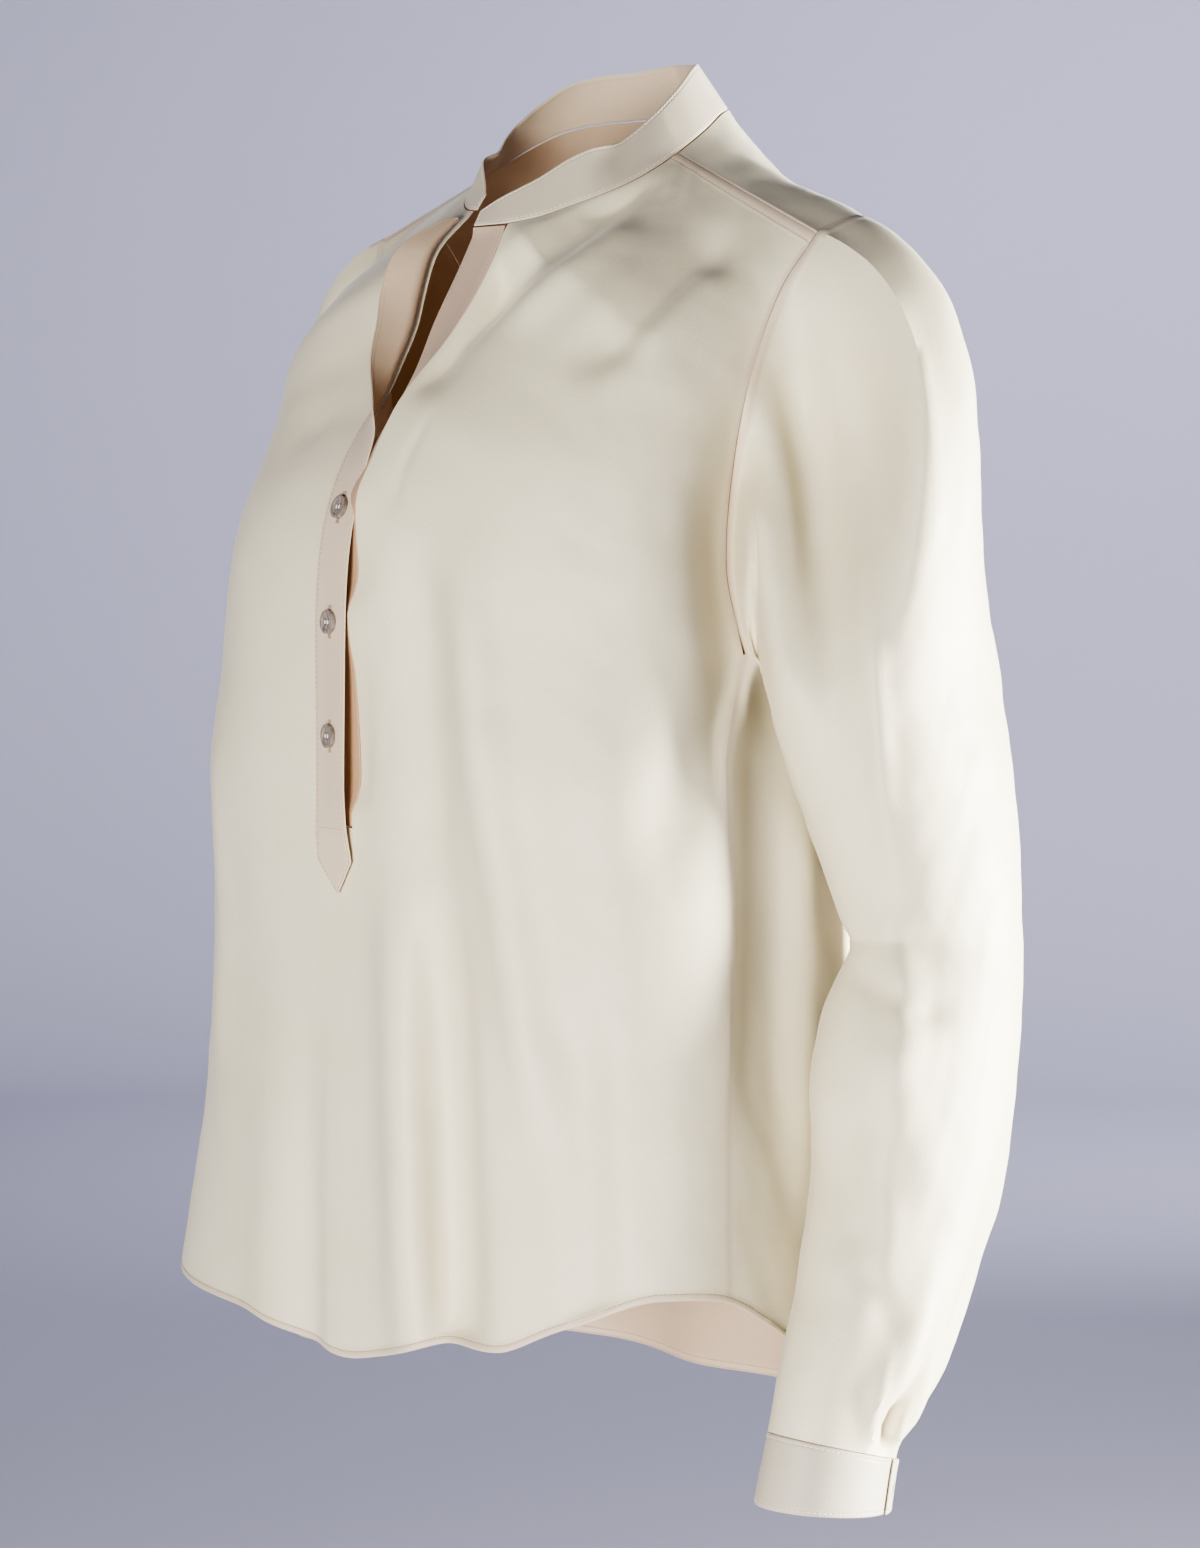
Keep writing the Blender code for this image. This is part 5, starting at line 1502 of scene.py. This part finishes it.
UNDER_STRIP_GRID = banded(GRIDS["placket_under"], -1, ("left", "right"))
# on the under strip the share marks its deeper painted shade, not doubled cloth
UNDER_STRIP = sheet("silk_placket_under", [UNDER_STRIP_GRID], STRIP_THICKNESS, [UNDER_SILK_PAINTED_SHADE, INNER_SILK_PAINTED_SHADE], neck_axis,
                    layers_and_shade=[ease(*UNDER_PAINTED_SHADE_HEIGHTS, UNDER_STRIP_GRID[..., 2])])
for piece in (*CUFF_PIECES.values(), COLLAR, TOP_STRIP, UNDER_STRIP):
    print(piece.name, "faces:", len(piece.data.polygons))

# %% [markdown]
# ## Thread
# The hem, the forward shoulder seams, the collar, the strips and the cuffs are topstitched. Stitches could be
# drawn in a picture that is laid on the cloth. As small forms they catch the light and stay sharp close up.
# The lines of stitches run at the distances where the sheets have their grooves.


# %% Topstitching
def hem_lines():
    """The hem's stitches, all round."""
    return [line_at(grid, "bottom", HEM_GROOVE, 1) for grid in (LOW_FRONT, LOW_BACK)]


def shoulder_lines():
    """Two lines along each forward shoulder seam."""
    return [line_at(HIGH_FRONTS[side], "top", distance, side, 0.001) for side in (1, -1)
            for distance in SHOULDER_GROOVES]


def band_lines(grid, way, edges, ends=0.0022):
    """The stitches round a band."""
    return [line_at(grid, edge, BAND_GROOVE, way, ends) for edge in edges]


HEM_THREAD = stitches("thread_hem", hem_lines(), SEAM_THREAD_PAINTED_SHADOW)
SHOULDER_THREAD = stitches("thread_shoulders", shoulder_lines(), SEAM_THREAD_PAINTED_SHADOW)
COLLAR_THREAD = stitches("thread_collar", band_lines(COLLAR_GRID, 1, ALL_EDGES), THREAD, radius=0.00024)
CUFF_THREADS = {side: stitches("thread_cuff_left" if side > 0 else "thread_cuff_right",
                               band_lines(CUFF_GRIDS[side], -side, ALL_EDGES), THREAD, radius=0.00026)
                for side in (1, -1)}
print("lines of stitches: at the hem", len(hem_lines()), "and at the shoulders", len(shoulder_lines()))


# %% Stitches of the placket strips and the pointed box
BOX_STITCHES = 0.0016
STRIP_STITCHES_END = 0.003
BOX_COLUMNS = slice(3, -3)


def upper(line, lowest):
    """The part of a line of stitches above a height."""
    points, outward = line
    kept = points[:, 2] > lowest
    return points[kept], outward[kept]


def box_lines():
    """The pointed box: down its sides to the tip, and across its top."""
    sides = [line_at(TOP_STRIP_GRID, edge, BOX_STITCHES, 1) for edge in ("left", "right")]
    low = [(points[points[:, 2] < SLIT_BOTTOM - 0.001], outward[points[:, 2] < SLIT_BOTTOM - 0.001])
           for points, outward in sides]
    row = int(np.argmin(abs(TOP_STRIP_GRID[:, 0, 2] - SLIT_BOTTOM)))
    across = TOP_STRIP_GRID[row, BOX_COLUMNS], normals_of(TOP_STRIP_GRID)[row, BOX_COLUMNS]
    return [*[line for line in low if len(line[0]) > 3], across]


STRIP_LINES = [upper(line_at(TOP_STRIP_GRID, edge, BAND_GROOVE, 1, STRIP_STITCHES_END), SLIT_BOTTOM)
               for edge in ("left", "right")]
STRIP_THREAD = stitches("thread_placket_top", STRIP_LINES + box_lines(), SEAM_THREAD_PAINTED_SHADOW)
UNDER_THREAD = stitches("thread_placket_under", band_lines(UNDER_STRIP_GRID, -1, ("left", "right")), SEAM_THREAD_PAINTED_SHADOW)
print("lines of stitches on the top strip:", len(STRIP_LINES) + len(box_lines()))

# %% [markdown]
# ## Buttons and buttonholes
# The buttons are river shell, 12.5 mm across, with a raised rim, a dished middle and four holes. One is turned
# from a flat cylinder, drilled, softened at its edges and then copied. Each of the three in the placket sits in
# an upright buttonhole, which is a slit whose edges are covered with close stitches.


# %% Turn one button
def river_shell():
    """Grey-beige shell with a soft banded lustre."""
    material = bpy.data.materials.new("river_shell")
    material.use_nodes = True
    tree = material.node_tree
    shader = tree.nodes["Principled BSDF"]
    where = add_node(tree, "ShaderNodeTexCoord", (-900, 0))
    bands = add_node(tree, "ShaderNodeTexWave", (-650, 100), {"Scale": 90, "Distortion": 9, "Detail": 3})
    cloud = add_node(tree, "ShaderNodeTexNoise", (-650, -200), {"Scale": 160})
    for texture in (bands, cloud):
        tree.links.new(where.outputs["Object"], texture.inputs["Vector"])
    tone = add_node(tree, "ShaderNodeMix", (-380, 100), data_type="RGBA")
    tone.inputs["A"].default_value = (0.15, 0.13, 0.11, 1)
    tone.inputs["B"].default_value = (0.36, 0.33, 0.29, 1)
    tree.links.new(bands.outputs["Fac"], tone.inputs["Factor"])
    warm = add_node(tree, "ShaderNodeMix", (-180, 100), data_type="RGBA")
    warm.inputs["B"].default_value = (0.26, 0.21, 0.17, 1)
    tree.links.new(cloud.outputs["Fac"], warm.inputs["Factor"])
    tree.links.new(tone.outputs["Result"], warm.inputs["A"])
    tree.links.new(warm.outputs["Result"], shader.inputs["Base Color"])
    for name, value in {"Roughness": 0.22, "Coat Weight": 0.4, "Coat Roughness": 0.12}.items():
        shader.inputs[name].default_value = value
    return material


BUTTON_DEPTH = 0.0022
BUTTON_FACE = ((0.0005, 0.0001), (0.0010, 0.0), (0.0006, -0.0006), (0.0008, -0.0001))  # from the rim: in, up
BUTTON_DISH = 0.0005  # how deep the middle lies
BUTTON_SOFT = 0.00012
HOLE_SPREAD = 0.0013
HOLE_RADIUS = 0.00075


def faces_up(piece, height):
    """Selects the faces of a piece in edit mode that look up at a height."""
    work = bmesh.from_edit_mesh(piece.data)
    for face in work.faces:
        face.select_set(face.normal.z > 0.9 and abs(face.calc_center_median().z - height) < 0.00005)
    bmesh.update_edit_mesh(piece.data)


def turned_button():
    """One button, with its back on the origin, facing +Z."""
    bpy.ops.mesh.primitive_cylinder_add(vertices=64, radius=BUTTON_RADIUS, depth=BUTTON_DEPTH,
                                        location=(0, 0, BUTTON_DEPTH / 2))
    button = bpy.context.object
    bpy.ops.object.transform_apply(location=True)
    bpy.ops.object.mode_set(mode="EDIT")
    bpy.ops.mesh.select_mode(type="FACE")
    faces_up(button, BUTTON_DEPTH)
    for inset, rise in BUTTON_FACE:
        bpy.ops.mesh.inset(thickness=inset)
        bpy.ops.transform.translate(value=(0, 0, rise))
    bpy.ops.object.mode_set(mode="OBJECT")
    for x, y in ((1, 1), (-1, 1), (-1, -1), (1, -1)):
        bpy.ops.mesh.primitive_cylinder_add(vertices=16, radius=HOLE_RADIUS, depth=BUTTON_DEPTH * 3,
                                            location=(x * HOLE_SPREAD, y * HOLE_SPREAD, BUTTON_DEPTH / 2))
        drill = bpy.context.object
        cut = button.modifiers.new("hole", "BOOLEAN")
        cut.object = drill
        cut.operation = "DIFFERENCE"
        apply_modifiers(button)
        bpy.data.objects.remove(drill, do_unlink=True)
    soft = button.modifiers.new("soft edges", "BEVEL")
    soft.width = BUTTON_SOFT
    soft.segments = 2
    soft.limit_method = "ANGLE"
    soft.angle_limit = math.radians(28)
    apply_modifiers(button)
    button.data.shade_smooth()
    button.data.materials.clear()
    button.data.materials.append(river_shell())
    return button


BUTTON = turned_button()
print("one button:", len(BUTTON.data.polygons), "faces")


# %% Where the buttons sit
SEAT_STEP = 0.004  # how far above and below a seat the cloth's slope is read
SEAT_COLUMNS = 3
SEAT_TURN = 6


def seat_axes(seat, across, up):
    """A placing for something that lies on the cloth: its middle, sideways and upward on the cloth, and out."""
    out = unit(np.cross(across, up))
    side = unit(np.cross(np.array([0, 0, 1.0]), out))
    axes = Matrix([[*row] for row in np.array([side, np.cross(out, side), out]).T]).to_4x4()
    return Matrix.Translation(Vector(seat + out * SEAM_GAP)) @ axes


def placket_seat(height):
    """The placing of a button or buttonhole on the top strip."""
    middle = STRIP_COLUMNS // 2
    row, over, under = (top_strip_rows([height + step])[0] for step in (0, SEAT_STEP, -SEAT_STEP))
    return seat_axes(row[middle], row[middle + SEAT_COLUMNS] - row[middle - SEAT_COLUMNS], over[middle] - under[middle])


def cuff_seat(side):
    """The placing of a cuff's button."""
    arm = arm_of(side)
    height, degrees, turn = (arm[-1][0] + CUFF_TOP) / 2, CUFF_START + CUFF_LAP / 2, SEAT_TURN * side
    at = lambda z, angle: arm_points(arm, np.array(z), side, np.array(float(angle)), CUFF_LIFT)
    return seat_axes(at(height, degrees), at(height, degrees + turn) - at(height, degrees - turn),
                     at(height + SEAT_STEP, degrees) - at(height - SEAT_STEP, degrees))


SEATS = {f"button_{number}": placket_seat(height) for number, height in enumerate(BUTTON_HEIGHTS, 1)}
SEATS |= {"cuff_button_left": cuff_seat(1), "cuff_button_right": cuff_seat(-1)}
BUTTONS, BUTTON_THREADS = {}, []
for node, seat in SEATS.items():
    button = BUTTON.copy()
    button.data = BUTTON.data.copy()
    button.name = "shell_" + node
    bpy.context.scene.collection.objects.link(button)
    button.data.transform(seat)
    BUTTONS[node] = button
    top = BUTTON_DEPTH - BUTTON_DISH
    spans = [((x, -HOLE_SPREAD, top), (x, HOLE_SPREAD, top)) for x in (-HOLE_SPREAD, HOLE_SPREAD)]
    out = np.array(seat.to_3x3() @ Vector((0, 0, 1)))
    lines = [(np.array([seat @ Vector(end) for end in span]), np.array([out, out])) for span in spans]
    BUTTON_THREADS.append(stitches("thread_" + node, lines, THREAD, spacing=0.0026, length=0.0027, radius=0.00042))
    apart = np.array(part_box(node)).mean(0) - np.array([vertex.co for vertex in button.data.vertices]).mean(0)
    print(node, "apart from its solid by", apart.round(4))
bpy.data.objects.remove(BUTTON, do_unlink=True)

# %% Buttonholes
HOLE_LENGTH = 0.0160
HOLE_SIDE = 0.00075  # from the slit's middle to the middle of its stitches
HOLE_SINK = 0.00015
HOLE_PITCH = 0.00042
HOLE_REACH = 0.0006  # half the length of a side's stitch
BAR_REACH = 0.0005
BAR_PITCH = 0.0004
BAR_OUT = (0.0003, 0.0001)  # how far the lower and the upper bar lie past the slit's ends


def buttonhole(number, seat):
    """The close stitches on both sides of a slit, with a bar at each end."""
    lines = []
    out = np.array(seat.to_3x3() @ Vector((0, 0, 1)))
    place = lambda x, y: np.array(seat @ Vector((x, y, -HOLE_SINK)))
    for y in np.arange(-HOLE_LENGTH / 2, HOLE_LENGTH / 2, HOLE_PITCH):
        for x in (-HOLE_SIDE, HOLE_SIDE):
            lines.append((np.array([place(x - HOLE_REACH, y), place(x + HOLE_REACH, y)]), np.array([out, out])))
    for end in (-HOLE_LENGTH / 2 - BAR_OUT[0], HOLE_LENGTH / 2 + BAR_OUT[1]):
        for x in np.arange(-3, 4) * BAR_PITCH:
            lines.append((np.array([place(x, end - BAR_REACH), place(x, end + BAR_REACH)]), np.array([out, out])))
    return stitches(f"buttonhole_{number}", lines, SEAM_THREAD_PAINTED_SHADOW, spacing=0.0013, length=0.0012, radius=0.00024)


BUTTONHOLES = [buttonhole(number, SEATS[f"button_{number}"]) for number in (1, 2, 3)]
print("buttonholes:", len(BUTTONHOLES))

# %% [markdown]
# ## What each piece stands for
# Each sheet replaces its solid and rides on the blouse's one body. The threads are extra pieces that stand for no
# solid.

# %% Ride and replace
REPLACED = {FRONT: "front", BACK: "back", SLEEVE_PIECES[1]: "sleeve_left", SLEEVE_PIECES[-1]: "sleeve_right",
            CUFF_PIECES[1]: "cuff_left", CUFF_PIECES[-1]: "cuff_right", COLLAR: "collar",
            TOP_STRIP: "placket_top", UNDER_STRIP: "placket_under"}
for piece, node in REPLACED.items():
    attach(piece, "root")
    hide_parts(node)

for node, button in BUTTONS.items():
    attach(button, "root")
    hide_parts(node)
for thread in (HEM_THREAD, SHOULDER_THREAD, COLLAR_THREAD, *CUFF_THREADS.values(), STRIP_THREAD, UNDER_THREAD,
               *BUTTON_THREADS, *BUTTONHOLES):
    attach(thread, "root")
print("declared:", len(REPLACED), "sheets and", len(BUTTONS), "buttons")

# %% [markdown]
# ## Floor, light and camera
# A pale floor far below and a pale blue-grey sweep behind keep the cream silk readable. The key light stands
# low behind the blouse on its left and rakes across the folds. A soft light low in front fills them. Two more
# lights reach only the sweep and the floor, and the air adds very little. The high contrast look deepens the
# folds.

# %% The floor and the sweep behind
FLOOR_Z = -1.38
STUDIO_RADIUS = 7.0
STUDIO_HEIGHT = 8.0
STUDIO_CORNER = 1.1


def plain(name, color, roughness=0.9):
    """A plain finish."""
    material = bpy.data.materials.new(name)
    material.use_nodes = True
    shader = material.node_tree.nodes["Principled BSDF"]
    shader.inputs["Base Color"].default_value = (*color, 1)
    shader.inputs["Roughness"].default_value = roughness
    return material


def around(azimuth, distance, height):
    """A place round the blouse. Azimuth 0 is in front of it and 90 on its left."""
    turn = math.radians(azimuth)
    return (distance * math.sin(turn), -distance * math.cos(turn), height)


bpy.ops.mesh.primitive_cylinder_add(vertices=96, radius=STUDIO_RADIUS, depth=STUDIO_HEIGHT,
                                    end_fill_type="NOTHING", location=(0, 0, FLOOR_Z + STUDIO_HEIGHT / 2))
studio = bpy.context.object
studio.name = "studio_sweep"
bpy.ops.object.mode_set(mode="EDIT")
work = bmesh.from_edit_mesh(studio.data)
bpy.ops.mesh.select_all(action="DESELECT")
for edge in work.edges:
    edge.select_set(all(vertex.co.z < 0 for vertex in edge.verts))
bmesh.update_edit_mesh(studio.data)
bpy.ops.mesh.edge_face_add()
bpy.ops.object.mode_set(mode="OBJECT")
bpy.ops.object.transform_apply(location=True)
rounded = studio.modifiers.new("soft corner", "BEVEL")
rounded.width = STUDIO_CORNER
rounded.segments = 12
rounded.limit_method = "ANGLE"
apply_modifiers(studio)
studio.data.shade_smooth()
studio.data.materials.append(plain("pale_studio", (0.51, 0.51, 0.61)))
print("studio:", len(studio.data.polygons), "faces")


# %% Lights
def soft_light(name, place, target, size, power, color):
    """A rectangular soft light that faces a point."""
    data = bpy.data.lights.new(name, "AREA")
    data.shape = "RECTANGLE"
    data.size, data.size_y = size
    data.energy = power
    data.color = color
    lamp = bpy.data.objects.new(name, data)
    bpy.context.scene.collection.objects.link(lamp)
    lamp.location = place
    lamp.rotation_euler = (Vector(target) - Vector(place)).to_track_quat("-Z", "Y").to_euler()
    return lamp


CENTRE = (0, -0.03, -0.32)
soft_light("key_right", around(136, 2.6, -0.50), CENTRE, (0.7, 0.9), 270, (1.0, 0.985, 0.955))
soft_light("front_soft", around(28, 2.6, -0.70), CENTRE, (0.8, 0.8), 74, (1.0, 0.975, 0.935))
soft_light("sweep_light", around(205, 4.4, 0.9), around(214, 7.0, 0.4), (3.0, 2.0), 62, (0.95, 0.94, 1.0))
soft_light("floor_light", around(226, 4.2, 1.6), around(228, 5.0, FLOOR_Z), (2.0, 2.0), 26, (0.95, 0.94, 1.0))
world = bpy.data.worlds.new("studio_air")
world.use_nodes = True
air = world.node_tree.nodes["Background"]
air.inputs["Color"].default_value = (0.80, 0.84, 1.0, 1)
air.inputs["Strength"].default_value = 0.08
bpy.context.scene.world = world
bpy.context.scene.view_settings.look = "AgX - High Contrast"
print("lights:", len(bpy.data.lights))

# %% Camera
VIEW_AZIMUTH = 50
VIEW_TILT = 3.684  # degrees downward
camera_data = bpy.data.cameras.new("view")
camera_data.lens = 92.1
camera_data.sensor_width = 36
camera_data.sensor_fit = "AUTO"
camera = bpy.data.objects.new("view", camera_data)
bpy.context.scene.collection.objects.link(camera)
camera.location = around(VIEW_AZIMUTH, 2.2, -0.20)
camera.rotation_euler = (math.radians(90 - VIEW_TILT), 0, math.radians(VIEW_AZIMUTH))
bpy.context.scene.camera = camera
print("camera at", [round(value, 3) for value in camera.location])
